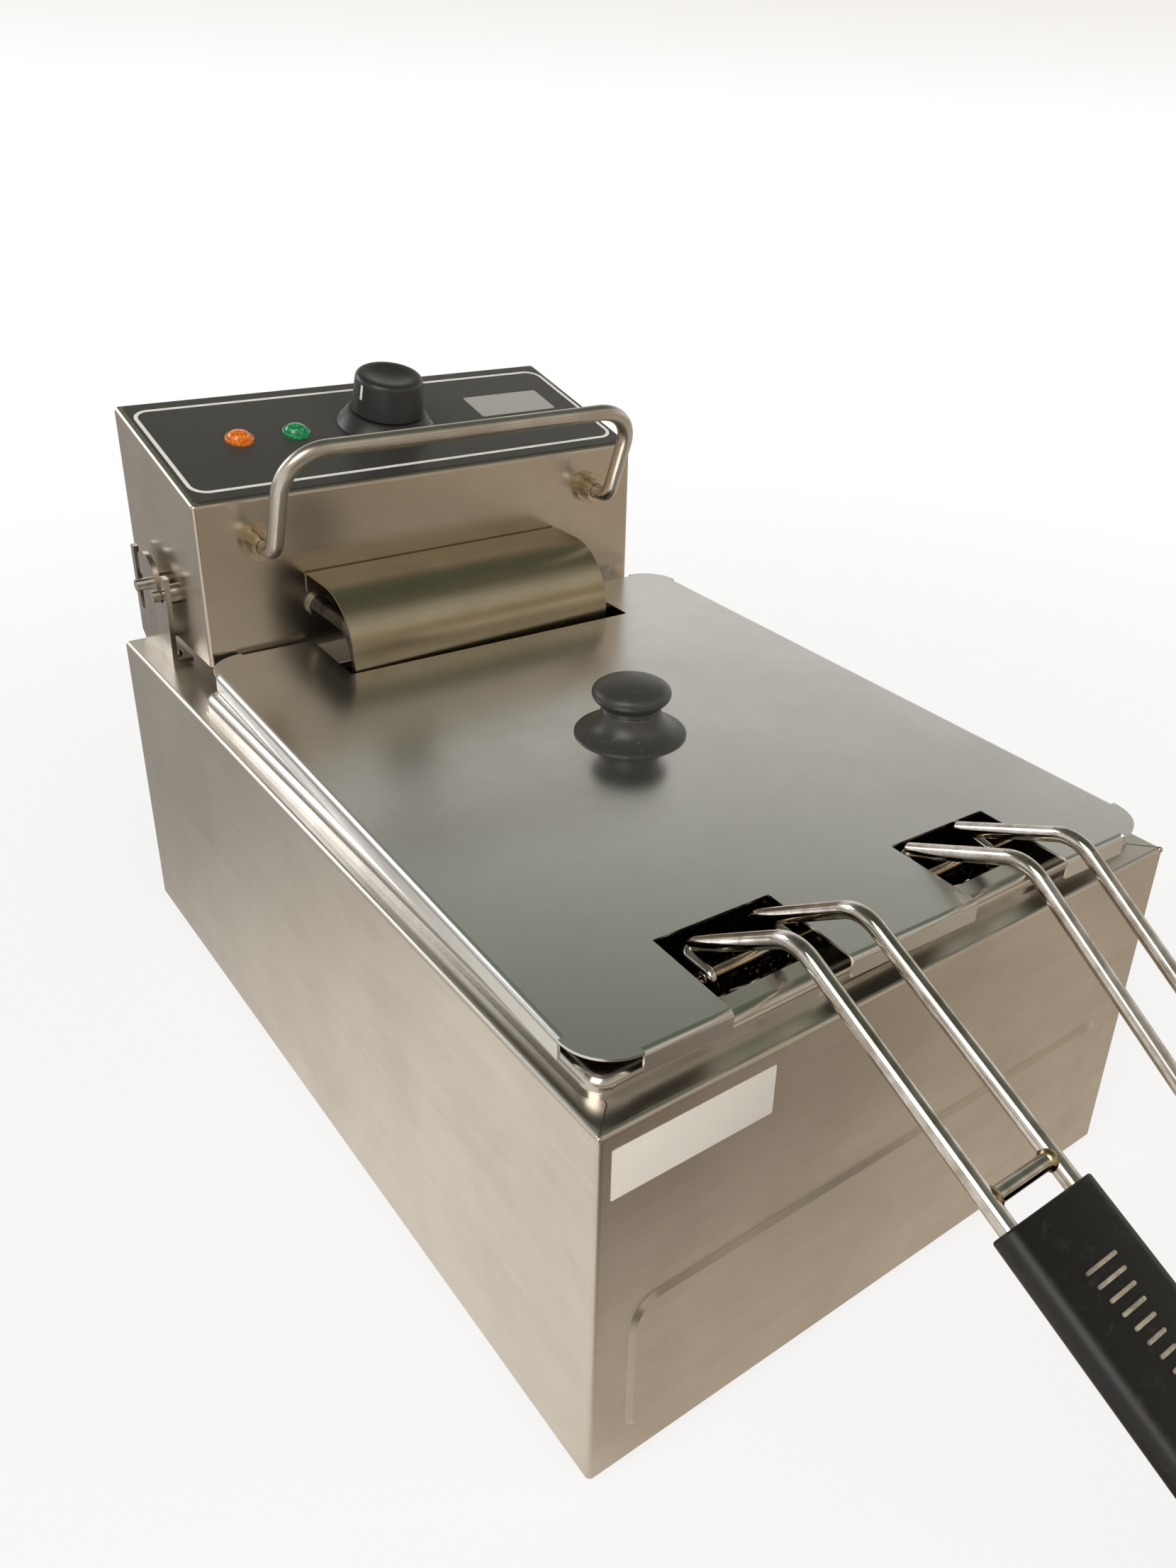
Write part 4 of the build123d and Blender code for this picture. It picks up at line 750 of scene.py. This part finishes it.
@dataclass
class ControlPanel:
    """The slanted panel: white line, lamps, dial ring with its scale, and the thermostat knob."""

    finishes: Finishes
    film: float = 0.5
    border_width: float = 237.0
    border_height: float = 86.5
    border_corner: float = 9.0
    border_line: float = 1.9
    print_rise: float = 0.12
    lamp_above_dial: float = 2.1
    lamp_radius: float = 7.0
    rim_lap: float = 0.4
    lens_radius: float = 5.9
    lens_lap: float = 0.45
    dome_radius: float = 8.6
    dome_rise: float = 4.9
    ring_bore: float = 8.0
    ring_radius: float = 25.5
    ring_foot: float = 0.8
    ring_top: float = 19.5
    ring_lip: float = 0.2
    ring_height: float = 8.0
    knob_gap: float = 0.5
    knob_edge: float = 3.0
    knob_foot: float = 0.6
    knob_radius: float = 18.5
    knob_top_radius: float = 17.3
    knob_height: float = 19.5
    dish_radius: float = 12.0
    dish_depth: float = 1.6
    pointer_angle: float = 193.0
    pointer_size: Spot = (1.5, 7.5)
    pointer_share: float = 0.66
    scale_turn: float = 270.0
    scale_marks: int = 28
    mark_width: float = 0.5
    mark_length: float = 1.6
    long_mark: float = 2.6
    long_every: int = 3
    mark_reach: float = 0.86
    scale_numbers: tuple[int, ...] = (50, 80, 110, 140, 170, 200)
    number_size: float = 3.6
    number_reach: float = 0.42

    def dial_place(self, lift: float = 0.0) -> Matrix:
        """Return the dial's place on the film.

        Args:
            lift: the height above the film in millimetres.

        Returns:
            A matrix whose Z is square to the panel and whose X runs to the right.
        """
        joint = next(item for item in frame["joints"] if item["name"] == "thermostat_turn")
        normal = -Vector(joint["axis"]).normalized()
        across = Vector((1, 0, 0))
        up_slope = normal.cross(across)
        turn = Matrix((across, up_slope, normal)).transposed().to_4x4()
        middle = Vector(joint["pos_m"]) + normal * (self.film + lift) * MM
        return Matrix.Translation(middle) @ turn

    def build_border(self) -> None:
        """Print the white line round the panel."""
        low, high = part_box("control_overlay")
        panel_middle = (low + high) / 2
        offset = self.dial_place().inverted() @ panel_middle
        shape = bmesh.new()
        lines = rounded_loop(shape, self.border_width, self.border_height, self.border_corner)
        inner = 2 * self.border_line
        lines += rounded_loop(
            shape, self.border_width - inner, self.border_height - inner,
            self.border_corner - self.border_line,
        )
        band = bmesh.ops.bridge_loops(shape, edges=lines)["faces"]
        raise_faces(shape, band, self.print_rise)
        place = self.dial_place() @ Matrix.Translation((0, offset.y, 0))
        bmesh.ops.transform(shape, matrix=place, verts=shape.verts)
        make_piece(shape, "panel_border_line", self.finishes.print, Body.HEAD)

    def build_lamp(self, node: str, lens: Material) -> None:
        """Make one signal lamp: a clear rim with a domed lens inside it.

        Args:
            node: the CAD node of the lamp.
            lens: the lens material.
        """
        low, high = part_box(node)
        place = self.dial_place() @ Matrix.Translation(((low.x + high.x) / 2, self.lamp_above_dial * MM, 0))
        rim = bmesh.new()
        inside = self.lens_radius - self.rim_lap
        profile = [(inside, 0.0), (self.lamp_radius, 0.0), (self.lamp_radius, 1.1)]
        profile += arc((self.lamp_radius - 0.6, 1.2), 0.6, 0, 120, 6)
        profile += [(inside, 1.3), (inside, 0.0)]
        lathe(rim, profile, place, 48)
        make_piece(rim, f"{node}_rim", lens, Body.HEAD)
        dome = bmesh.new()
        wall = self.lens_radius - self.lens_lap
        profile = [(0, 0), (wall, 0), (wall, 1.5)]
        profile += arc((self.lens_radius - 1.2, 1.9), 0.8, 0, 50, 4)
        profile += arc((0, self.dome_rise - self.dome_radius), self.dome_radius, 58, 90, 8)
        lathe(dome, profile, place, 48)
        make_piece(dome, f"{node}_lens", lens, Body.HEAD, (node,))

    def build_ring(self) -> None:
        """Make the sloped ring under the knob."""
        shape = bmesh.new()
        bore, top = self.ring_bore, self.ring_height
        profile = [(bore, 0.0), (self.ring_radius, 0.0), (self.ring_radius, self.ring_foot)]
        profile += [(self.ring_top + 0.5, top - self.ring_lip), (self.ring_top, top)]
        profile += [(bore, top), (bore, 0.0)]
        lathe(shape, profile, self.dial_place(), 96)
        make_piece(shape, "dial_scale_ring", self.finishes.dial, Body.HEAD, ("dial_ring",))

    def on_ring(self, angle: float, reach: float) -> Matrix:
        """Return a place on the ring's slope.

        Args:
            angle: degrees round the dial from straight right.
            reach: the share of the slope from its foot to its top.

        Returns:
            A matrix whose Y points to the middle, with Z out of the slope.
        """
        run = self.ring_radius - self.ring_top
        rise = self.ring_height - self.ring_foot - self.ring_lip
        slope = math.atan2(rise, run)
        radius = (self.ring_radius - run * reach) * MM
        height = (self.ring_foot + rise * reach) * MM
        turn = Matrix.Rotation(math.radians(angle + 90), 4, "Z")
        lean = Matrix.Rotation(slope, 4, "X")
        return self.dial_place() @ turn @ Matrix.Translation((0, -radius, height)) @ lean

    def build_scale(self) -> None:
        """Print the marks of the scale on the ring."""
        shape = bmesh.new()
        for mark in range(self.scale_marks):
            angle = self.pointer_angle - self.scale_turn * mark / (self.scale_marks - 1)
            length = self.mark_length if mark % self.long_every else self.long_mark
            size = (self.mark_width, length, 2 * self.print_rise)
            add_lump(shape, size, self.on_ring(angle, self.mark_reach))
        make_piece(shape, "dial_scale_marks", self.finishes.print, Body.HEAD)

    def build_numbers(self) -> None:
        """Print the temperatures round the ring."""
        shape = bmesh.new()
        steps = len(self.scale_numbers)
        for count, number in enumerate(self.scale_numbers):
            letters = bpy.data.curves.new(f"number_{number}", "FONT")
            letters.body = str(number)
            letters.size = self.number_size * MM
            letters.align_x = "CENTER"
            letters.align_y = "CENTER"
            letters.extrude = self.print_rise * MM
            letters.resolution_u = 3
            holder = bpy.data.objects.new(letters.name, letters)
            flat = bpy.data.meshes.new_from_object(holder)
            angle = self.pointer_angle - self.scale_turn * (count + 1) / steps
            flat.transform(self.on_ring(angle, self.number_reach))
            shape.from_mesh(flat)
            bpy.data.objects.remove(holder)
            bpy.data.curves.remove(letters)
            bpy.data.meshes.remove(flat)
        make_piece(shape, "dial_numbers", self.finishes.print, Body.HEAD)

    def build_knob(self) -> None:
        """Make the thermostat knob, dished on top, with a white line on its side."""
        base = self.ring_height + self.knob_gap
        edge = self.knob_edge
        shape = bmesh.new()
        dish_rim = (self.dish_radius**2 + self.dish_depth**2) / (2 * self.dish_depth)
        sweep = math.degrees(math.asin(self.dish_radius / dish_rim))
        foot = self.knob_foot
        profile = [(0, base), (self.knob_radius - foot, base), (self.knob_radius, base + foot)]
        profile += arc((self.knob_top_radius - edge, base + self.knob_height - edge), edge, 4, 88, 10)
        top = base + self.knob_height
        profile += arc((0, top - self.dish_depth + dish_rim), dish_rim, -90 + sweep, -90, 10)
        lathe(shape, profile, self.dial_place(), 96)
        make_piece(
            shape, "thermostat_knob_cap", self.finishes.dial, Body.KNOB,
            ("thermostat_knob",),
        )
        mark = bmesh.new()
        taper = self.knob_radius - self.knob_top_radius
        lean = math.atan2(taper, self.knob_height)
        turn = Matrix.Rotation(math.radians(self.pointer_angle), 4, "Z")
        height = base + self.knob_height * self.pointer_share
        radius = self.knob_radius - taper * self.pointer_share
        stand = Matrix.Translation((radius * MM, 0, height * MM)) @ Matrix.Rotation(-lean, 4, "Y")
        add_lump(mark, (2 * self.print_rise, *self.pointer_size), self.dial_place() @ turn @ stand)
        make_piece(mark, "knob_pointer_line", self.finishes.print, Body.KNOB)

    def build(self) -> None:
        """Make everything on the panel."""
        self.build_border()
        self.build_lamp("power_lamp", self.finishes.amber)
        self.build_lamp("heating_lamp", self.finishes.green)
        self.build_ring()
        self.build_scale()
        self.build_numbers()
        self.build_knob()


def frame_front() -> float:
    """Return the depth of the casing's flat front, behind the face of its raised field."""
    low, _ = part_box("casing_wrap")
    return low.y + FIELD_RISE * MM


@dataclass
class CasingTrim:
    """What is on the casing's sheet: a blank label and the mitre seams with their weld beads."""

    finishes: Finishes
    label_size: Point = (64.0, 20.0, 0.2)
    label_corner: float = 0.6
    label_edge: float = 0.05
    label_inset: float = 5.0
    label_drop: float = 7.0
    seam_width: float = 0.5
    seam_rise: float = 0.06
    seam_lap: float = 2.0
    seam_trim: float = 3.0
    bead: float = 2.6
    bead_sink: float = 1.1

    def build_label(self) -> None:
        """Stick the blank label to the front, by its upper left corner."""
        low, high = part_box("casing_wrap")
        width, height, _ = self.label_size
        shape = bmesh.new()
        left = low.x + (self.label_inset + width / 2) * MM
        middle = Vector((left, frame_front(), high.z - (self.label_drop + height / 2) * MM))
        place = Matrix.Translation(middle) @ STAND_UP
        add_plate(shape, self.label_size, self.label_corner, self.label_edge, place)
        make_piece(shape, "blank_label", self.finishes.paper, Body.CASING)

    def build_seams(self) -> None:
        """Draw the mitre seams on the ledge and the bead that closes each front corner."""
        low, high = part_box("casing_wrap")
        rim_low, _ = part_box("tank")
        front = frame_front()
        seams = bmesh.new()
        beads = bmesh.new()
        inset = (rim_low.y - front) / MM + self.seam_lap
        reach = inset * math.sqrt(2) - self.seam_trim
        sink = self.bead_sink * MM
        for hand, corner_x in ((1, low.x), (-1, high.x)):
            middle = Vector((corner_x + hand * inset / 2 * MM, front + inset / 2 * MM, high.z))
            turn = Matrix.Rotation(hand * math.radians(45), 4, "Z")
            add_lump(seams, (reach, self.seam_width, self.seam_rise), Matrix.Translation(middle) @ turn)
            spot = Vector((corner_x + hand * sink, front + sink, high.z - sink))
            add_lump(beads, (self.bead, self.bead, self.bead), Matrix.Translation(spot), bead=True)
        make_piece(seams, "mitre_seams", self.finishes.seam, Body.CASING)
        make_piece(beads, "corner_weld_beads", self.finishes.rod, Body.CASING)

    def build(self) -> None:
        """Make the label and the seams."""
        self.build_label()
        self.build_seams()


@dataclass
class Basket:
    """One wire basket: woven nets, welds on its handle, and the coated grip."""

    finishes: Finishes
    side: str
    body: Body
    slope: float
    wire: float = 5.0
    corner: float = 10.0
    net_wire: float = 1.3
    net_pitch: float = 7.5
    grip_edge: float = 5.5
    grip_half: float = 14.0
    grip_wall: float = 2.0
    grip_bevel: float = 0.8
    rib_count: int = 9
    rib_pitch: float = 4.07
    rib_start: float = 18.8
    rib_size: Point = (12.9, 1.2, 0.6)
    rib_shrink: float = 1.05
    bar_before_grip: float = 8.6
    rod_radius: float = 3.0
    weld_size: Point = (5.6, 7.6, 6.6)

    def weave_way(
        self, shape: Mesh, length: float, across: float, place: Matrix, phase: int
    ) -> None:
        """Weave one way of a flat net.

        Args:
            shape: the mesh that gets the wires.
            length: how long each wire is, in millimetres.
            across: how wide the net is.
            place: the net's middle, with the wires along X.
            phase: 0 or 1, which way the first crossing goes.
        """
        half = self.net_pitch / 2
        steps = int(length // half)
        count = int(across // self.net_pitch) + 1
        lift = self.net_wire / 2 * MM
        ring = bmesh.ops.create_circle(shape, radius=self.net_wire / 2 * MM, segments=6)["verts"]
        lying = Matrix.Rotation(math.radians(90), 4, "Y")
        stand = Matrix.Translation((-steps * half / 2 * MM, 0, 0)) @ lying
        bmesh.ops.transform(shape, matrix=stand, verts=ring)
        made = list(ring)
        edges = list({edge for vert in ring for edge in vert.link_edges})
        bmesh.ops.contextual_create(shape, geom=edges)
        height = 0.0
        for step in range(steps):
            goal = lift * math.sin(math.pi / 2 * (step + 1))
            grown = bmesh.ops.extrude_edge_only(shape, edges=edges)["geom"]
            ring = [item for item in grown if isinstance(item, bmesh.types.BMVert)]
            edges = [item for item in grown if isinstance(item, bmesh.types.BMEdge)]
            bmesh.ops.translate(shape, verts=ring, vec=(half * MM, 0, goal - height))
            height = goal
            made += ring
        bmesh.ops.contextual_create(shape, geom=edges)
        faces = list({face for vert in made for face in vert.link_faces})
        lines = list({edge for vert in made for edge in vert.link_edges})
        for number in range(count):
            copy = bmesh.ops.duplicate(shape, geom=made + lines + faces)["geom"]
            verts = [item for item in copy if isinstance(item, bmesh.types.BMVert)]
            turn = Matrix.Rotation(math.pi * ((number + phase) % 2), 4, "X")
            shift = Matrix.Translation((0, (number - (count - 1) / 2) * self.net_pitch * MM, 0))
            bmesh.ops.transform(shape, matrix=place @ shift @ turn, verts=verts)
        bmesh.ops.delete(shape, geom=made, context="VERTS")

    def weave(self, shape: Mesh, width: float, height: float, place: Matrix) -> None:
        """Weave a flat net both ways.

        Args:
            shape: the mesh that gets it.
            width: its size along the local X.
            height: its size along the local Y.
            place: its middle.
        """
        self.weave_way(shape, width, height, place, 0)
        self.weave_way(shape, height, width, place @ QUARTER_TURN, 1)

    def build_nets(self) -> None:
        """Weave the floor and the four walls inside the frame."""
        low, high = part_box(f"{self.side}_basket_mesh")
        middle = (low + high) / 2
        size = (high - low) / MM
        frame_low, frame_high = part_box(f"{self.side}_basket_frame")
        wall_x = ((frame_high - frame_low).x / MM - self.wire) / 2
        wall_y = ((frame_high - frame_low).y / MM - self.wire) / 2
        floor_z = low.z / MM + 1.0
        top_z = frame_high.z / MM - self.wire / 2
        wall_height = top_z - floor_z - self.wire
        wall_z = (top_z + floor_z) / 2 * MM
        shape = bmesh.new()
        for hand in (-1, 1):
            side_middle = Matrix.Translation((middle.x + hand * wall_x * MM, middle.y, wall_z))
            side_place = side_middle @ QUARTER_TURN @ STAND_UP
            self.weave(shape, size.y - 2 * self.corner, wall_height, side_place)
            end_place = Matrix.Translation((middle.x, middle.y + hand * wall_y * MM, wall_z)) @ STAND_UP
            self.weave(shape, size.x - 2 * self.corner, wall_height, end_place)
        floor_place = Matrix.Translation((middle.x, middle.y, floor_z * MM))
        self.weave(shape, size.x - self.corner, size.y - self.corner, floor_place)
        make_piece(
            shape, f"{self.side}_woven_nets", self.finishes.wire, self.body,
            (f"{self.side}_basket_mesh",),
        )

    def grip_place(self, back: float = 0.0, up: float = 0.0) -> Matrix:
        """Return a place along the grip.

        Args:
            back: the distance from the grip's near end towards its tip, in millimetres.
            up: the height above the grip's middle.

        Returns:
            A matrix whose Y runs up the handle, with Z out of the grip's broad face.
        """
        low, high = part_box(f"{self.side}_basket_grip")
        lean = math.radians(self.slope)
        start = Vector((
            (low.x + high.x) / 2,
            high.y - self.grip_edge * math.sin(lean) * MM,
            high.z - self.grip_edge * math.cos(lean) * MM,
        ))
        shift = Matrix.Translation((0, -back * MM, up * MM))
        return Matrix.Translation(start) @ Matrix.Rotation(lean, 4, "X") @ shift

    def grip_length(self) -> float:
        """Return the grip's length in millimetres."""
        low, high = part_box(f"{self.side}_basket_grip")
        lean = math.radians(self.slope)
        return ((high.y - low.y) / MM - 2 * self.grip_edge * math.sin(lean)) / math.cos(lean)

    def build_grip(self) -> None:
        """Make the grip, a flattened coated tube that is open at its near end."""
        length = self.grip_length()
        shape = bmesh.new()
        width = 2 * (self.grip_half + self.grip_edge)
        outer = rounded_loop(shape, width, 2 * self.grip_edge, self.grip_edge, 10)
        inner_edge = self.grip_edge - self.grip_wall
        inner = rounded_loop(shape, width - 2 * self.grip_wall, 2 * inner_edge, inner_edge, 10)
        band = bmesh.ops.bridge_loops(shape, edges=outer + inner)["faces"]
        raise_faces(shape, band, length)
        ends = [edge for edge in shape.edges if len(edge.link_faces) == 2 and edge.calc_face_angle(0) > 1.0]
        bmesh.ops.bevel(
            shape, geom=ends, offset=self.grip_bevel * MM, segments=3, profile=0.5, affect="EDGES",
            material=-1,
        )
        bmesh.ops.transform(shape, matrix=self.grip_place() @ STAND_UP, verts=shape.verts)
        make_piece(
            shape, f"{self.side}_coated_grip", self.finishes.grip, self.body,
            (f"{self.side}_basket_grip",),
        )

    def build_ribs(self) -> None:
        """Make the short raised ribs across the grip's broad face, pale partly from rubbed coating and
        partly from a painted highlight.
        """
        shape = bmesh.new()
        length, width, rise = self.rib_size
        for rib in range(self.rib_count):
            back = self.rib_start + rib * self.rib_pitch
            size = (length - rib * self.rib_shrink, width, rise)
            add_plate(shape, size, width * 0.48, rise * 0.4, self.grip_place(back, self.grip_edge))
        make_piece(shape, f"{self.side}_grip_ribs", self.finishes.rubbed_and_highlit, self.body)

    def build_welds(self) -> None:
        """Put a weld bead where the cross bar meets each rod."""
        shape = bmesh.new()
        for hand in (-1, 1):
            reach = Matrix.Translation((hand * (self.grip_half - self.rod_radius * 0.6) * MM, 0, 0))
            place = self.grip_place(-self.bar_before_grip) @ reach
            add_lump(shape, self.weld_size, place, bead=True)
        make_piece(shape, f"{self.side}_handle_welds", self.finishes.weld, self.body)

    def build(self) -> None:
        """Make the basket's nets, grip and welds."""
        self.build_nets()
        self.build_grip()
        self.build_ribs()
        self.build_welds()


@dataclass
class Studio:
    """The floor, the light and the camera."""

    image: tuple[int, int] = (1659, 2212)
    focal_px: float = 1785.0
    axis_px: tuple[float, float] = (915.4, 1029.5)
    azimuth: float = 38.325
    elevation: float = 26.734
    roll: float = 2.56
    eye_mm: Point = (-298.29, -337.30, 426.85)
    sensor: float = 36.0
    floor_size: float = 60.0
    floor_colour: str = "#f6f6f5"
    floor_glow: float = 0.78
    floor_fade: Spot = (0.35, 1.1)
    # Painted reflection tones that the floor shows only to glossy rays; the darkest one is painted shade
    reflected_front_tone: str = "#c6b9aa"
    reflected_shade_ahead: str = "#6e6357"
    reflected_right_tone: str = "#b5a796"
    reflected_left_tone: str = "#efe9df"
    reflected_far_tone: str = "#a9a5a0"
    rear_fade: Spot = (0.02, 0.45)
    right_fade: Spot = (-0.05, 0.3)
    front_fade: Spot = (-0.12, -0.3)
    side_fade: Spot = (-0.06, 0.03)
    back_stops: Stops = (
        (0.0, "#ffffff"), (0.06, "#f4f1ec"), (0.2, "#eeebe6"), (0.36, "#e0dcd6"),
        (0.46, "#c6c3bd"), (0.57, "#97998f"), (0.68, "#6b7062"), (1.0, "#565a50"),
    )
    front_stops: Stops = (
        (0.0, "#ffffff"), (0.08, "#c4b39c"), (0.2, "#a08c72"), (0.3, "#a6967f"),
        (0.42, "#d6d0c6"), (0.7, "#b9b5ad"), (1.0, "#5a5e54"),
    )
    room_fade: Spot = (-0.15, -0.6)
    room_light: float = 0.8
    lamp_aim: Point = (0.0, 0.05, 0.12)
    lamps: tuple[tuple[str, Point, float, float, str, bool], ...] = (
        ("key_softbox", (-1.5, -0.7, 1.9), 1.4, 24.0, "#fff8f0", True),
        ("side_strip", (0.85, -0.95, 1.3), 0.5, 5.0, "#fff4e4", False),
        ("rear_softbox", (-1.0, 1.9, 1.1), 0.9, 7.0, "#f4f7ff", True),
        ("front_fill", (0.2, -2.4, 1.3), 1.3, 22.0, "#fbf8f4", False),
    )

    def build_camera(self) -> None:
        """Stand the camera where the photograph was taken."""
        turn = math.radians(self.azimuth)
        tilt = math.radians(self.elevation)
        lean = math.radians(self.roll)
        ahead = Vector((math.sin(turn) * math.cos(tilt), math.cos(turn) * math.cos(tilt), -math.sin(tilt)))
        level = ahead.cross(Vector((0, 0, 1))).normalized()
        above = level.cross(ahead)
        right = level * math.cos(lean) + above * math.sin(lean)
        up = above * math.cos(lean) - level * math.sin(lean)
        lens = bpy.data.cameras.new("photo_camera")
        lens.sensor_fit = "VERTICAL"
        lens.sensor_height = self.sensor
        width, height = self.image
        lens.lens = self.focal_px / height * self.sensor
        lens.shift_x = (width / 2 - self.axis_px[0]) / height
        lens.shift_y = (self.axis_px[1] - height / 2) / height
        lens.clip_start = 0.02
        camera = bpy.data.objects.new("photo_camera", lens)
        camera.matrix_world = (
            Matrix.Translation(Vector(self.eye_mm) * MM) @ Matrix((right, up, -ahead)).transposed().to_4x4()
        )
        bpy.context.scene.collection.objects.link(camera)
        bpy.context.scene.camera = camera

    def add_painted_reflection_tones(self, tree: Tree, place: Socket) -> Socket:
        """Add the painted reflection tones that the steel mirrors from the floor, seen only by glossy rays:
        pale at the left, brown in front, with painted shade further ahead.

        Args:
            tree: the floor's node tree.
            place: the Object coordinates.

        Returns:
            The colour socket.
        """
        axes = add_node(tree, "SeparateXYZ", {}, {"Vector": place})
        across, along = axes.outputs["X"], axes.outputs["Y"]
        slant = add_node(tree, "Math", {"operation": "SUBTRACT"}, {0: across, 1: along})
        rear, right, ahead, side = (
            add_node(
                tree, "MapRange",
                {"From Min": start, "From Max": end, "interpolation_type": "SMOOTHSTEP"}, {"Value": value},
            ).outputs["Result"]
            for value, (start, end) in (
                (along, self.rear_fade), (across, self.right_fade), (along, self.front_fade),
                (slant.outputs["Value"], self.side_fade),
            )
        )
        left, away = (
            add_node(
                tree, "Mix",
                {"data_type": "RGBA", MIX_FIRST: to_linear(near), MIX_SECOND: to_linear(far)}, {0: share},
            ).outputs[MIX_RESULT]
            for share, near, far in (
                (rear, self.reflected_left_tone, self.reflected_far_tone), (right, self.reflected_shade_ahead, self.reflected_right_tone),
            )
        )
        front = add_node(
            tree, "Mix", {"data_type": "RGBA", MIX_FIRST: to_linear(self.reflected_front_tone)},
            {0: ahead, MIX_SECOND: away},
        )
        reflected_tone = add_node(
            tree, "Mix", {"data_type": "RGBA"},
            {0: side, MIX_FIRST: left, MIX_SECOND: front.outputs[MIX_RESULT]},
        )
        return reflected_tone.outputs[MIX_RESULT]

    def build_floor(self) -> None:
        """Lay the pale floor, which keeps the shadow near the fryer and fades to white far off."""
        shape = bmesh.new()
        bmesh.ops.create_grid(shape, x_segments=1, y_segments=1, size=self.floor_size / 2)
        mesh = bpy.data.meshes.new("floor")
        shape.to_mesh(mesh)
        shape.free()
        material, tree, place = start_material("pale_studio_floor")
        path = add_node(tree, "LightPath")
        distance = add_node(tree, "VectorMath", {"operation": "LENGTH"}, {0: place})
        fade = add_node(
            tree, "MapRange",
            {"From Min": self.floor_fade[0], "From Max": self.floor_fade[1], "To Min": self.floor_glow},
            {"Value": distance.outputs["Value"]},
        )
        share = add_node(
            tree, "Math", {"operation": "MULTIPLY"},
            {0: path.outputs["Is Camera Ray"], 1: fade.outputs["Result"]},
        )
        matte = add_node(tree, "BsdfDiffuse", {"Color": to_linear(self.floor_colour)})
        glow = add_node(tree, "Emission", {"Color": (1, 1, 1, 1), "Strength": 1.0})
        pale = add_node(
            tree, "MixShader", {},
            {0: share.outputs["Value"], 1: matte.outputs["BSDF"], 2: glow.outputs["Emission"]},
        )
        # Glossy rays see painted reflection tones here instead of the pale floor
        mirrored = add_node(
            tree, "Emission", {"Strength": 1.0},
            {"Color": self.add_painted_reflection_tones(tree, place)},
        )
        surface = add_node(
            tree, "MixShader", {},
            {0: path.outputs["Is Glossy Ray"], 1: pale.outputs["Shader"], 2: mirrored.outputs["Emission"]},
        )
        add_node(tree, "OutputMaterial", {}, {"Surface": surface.outputs["Shader"]})
        mesh.materials.append(material)
        floor = bpy.data.objects.new("floor", mesh)
        bpy.context.scene.collection.objects.link(floor)

    def build_world(self) -> None:
        """Set the room: pale near the horizon and dimmer overhead, as a plain studio is."""
        world = bpy.data.worlds.new("studio")
        bpy.context.scene.world = world
        world.use_nodes = True
        tree = world.node_tree
        tree.nodes.clear()
        coordinates = add_node(tree, "TexCoord")
        axes = add_node(tree, "SeparateXYZ", {}, {"Vector": coordinates.outputs["Generated"]})
        heights = []
        for stops in (self.back_stops, self.front_stops):
            ramp = add_node(tree, "ValToRGB", {}, {"Fac": axes.outputs["Z"]})
            elements = ramp.color_ramp.elements
            while len(elements) < len(stops):
                elements.new(1.0)
            for element, (position, colour) in zip(elements, stops):
                element.position = position
                element.color = to_linear(colour)
            heights.append(ramp.outputs["Color"])
        start, end = self.room_fade
        ahead = add_node(
            tree, "MapRange",
            {"From Min": start, "From Max": end, "interpolation_type": "SMOOTHSTEP"},
            {"Value": axes.outputs["Y"]},
        )
        room = add_node(
            tree, "Mix", {"data_type": "RGBA"},
            {0: ahead.outputs["Result"], MIX_FIRST: heights[0], MIX_SECOND: heights[1]},
        ).outputs[MIX_RESULT]
        soft, shown = (
            add_node(tree, "Background", {"Strength": strength}, {"Color": room})
            for strength in (self.room_light, 1.0)
        )
        path = add_node(tree, "LightPath")
        seen = path.outputs["Is Camera Ray"]
        for kind in ("Is Glossy Ray", "Is Transmission Ray"):
            either = add_node(
                tree, "Math", {"operation": "MAXIMUM"}, {0: seen, 1: path.outputs[kind]}
            )
            seen = either.outputs["Value"]
        mixed = add_node(
            tree, "MixShader", {},
            {0: seen, 1: soft.outputs["Background"], 2: shown.outputs["Background"]},
        )
        add_node(tree, "OutputWorld", {}, {"Surface": mixed.outputs["Shader"]})

    def build_lamps(self) -> None:
        """Hang the softboxes, each aimed at the fryer."""
        for name, place, size, power, colour, mirrored in self.lamps:
            lamp = bpy.data.lights.new(name, "AREA")
            lamp.shape = "SQUARE"
            lamp.size = size
            lamp.energy = power
            lamp.color = to_linear(colour)[:3]
            holder = bpy.data.objects.new(name, lamp)
            holder.location = place
            aim = Vector(self.lamp_aim) - Vector(place)
            holder.rotation_euler = aim.to_track_quat("-Z", "Y").to_euler()
            holder.visible_glossy = mirrored
            bpy.context.scene.collection.objects.link(holder)

    def build(self) -> None:
        """Set up the whole studio."""
        bpy.context.scene.view_settings.view_transform = "Standard"
        self.build_camera()
        self.build_floor()
        self.build_world()
        self.build_lamps()


def main() -> None:
    """Dress the fryer, build its visible pieces and set up the studio."""
    logging.basicConfig(level=logging.INFO, format="%(name)s: %(message)s")
    finishes = Finishes()
    dress(finishes)
    LidKnob(finishes).build()
    ControlPanel(finishes).build()
    CasingTrim(finishes).build()
    Basket(finishes, "left", Body.LEFT_BASKET, slope=25.2).build()
    Basket(finishes, "right", Body.RIGHT_BASKET, slope=34.2).build()
    Studio().build()


if __name__ == "__main__":
    main()
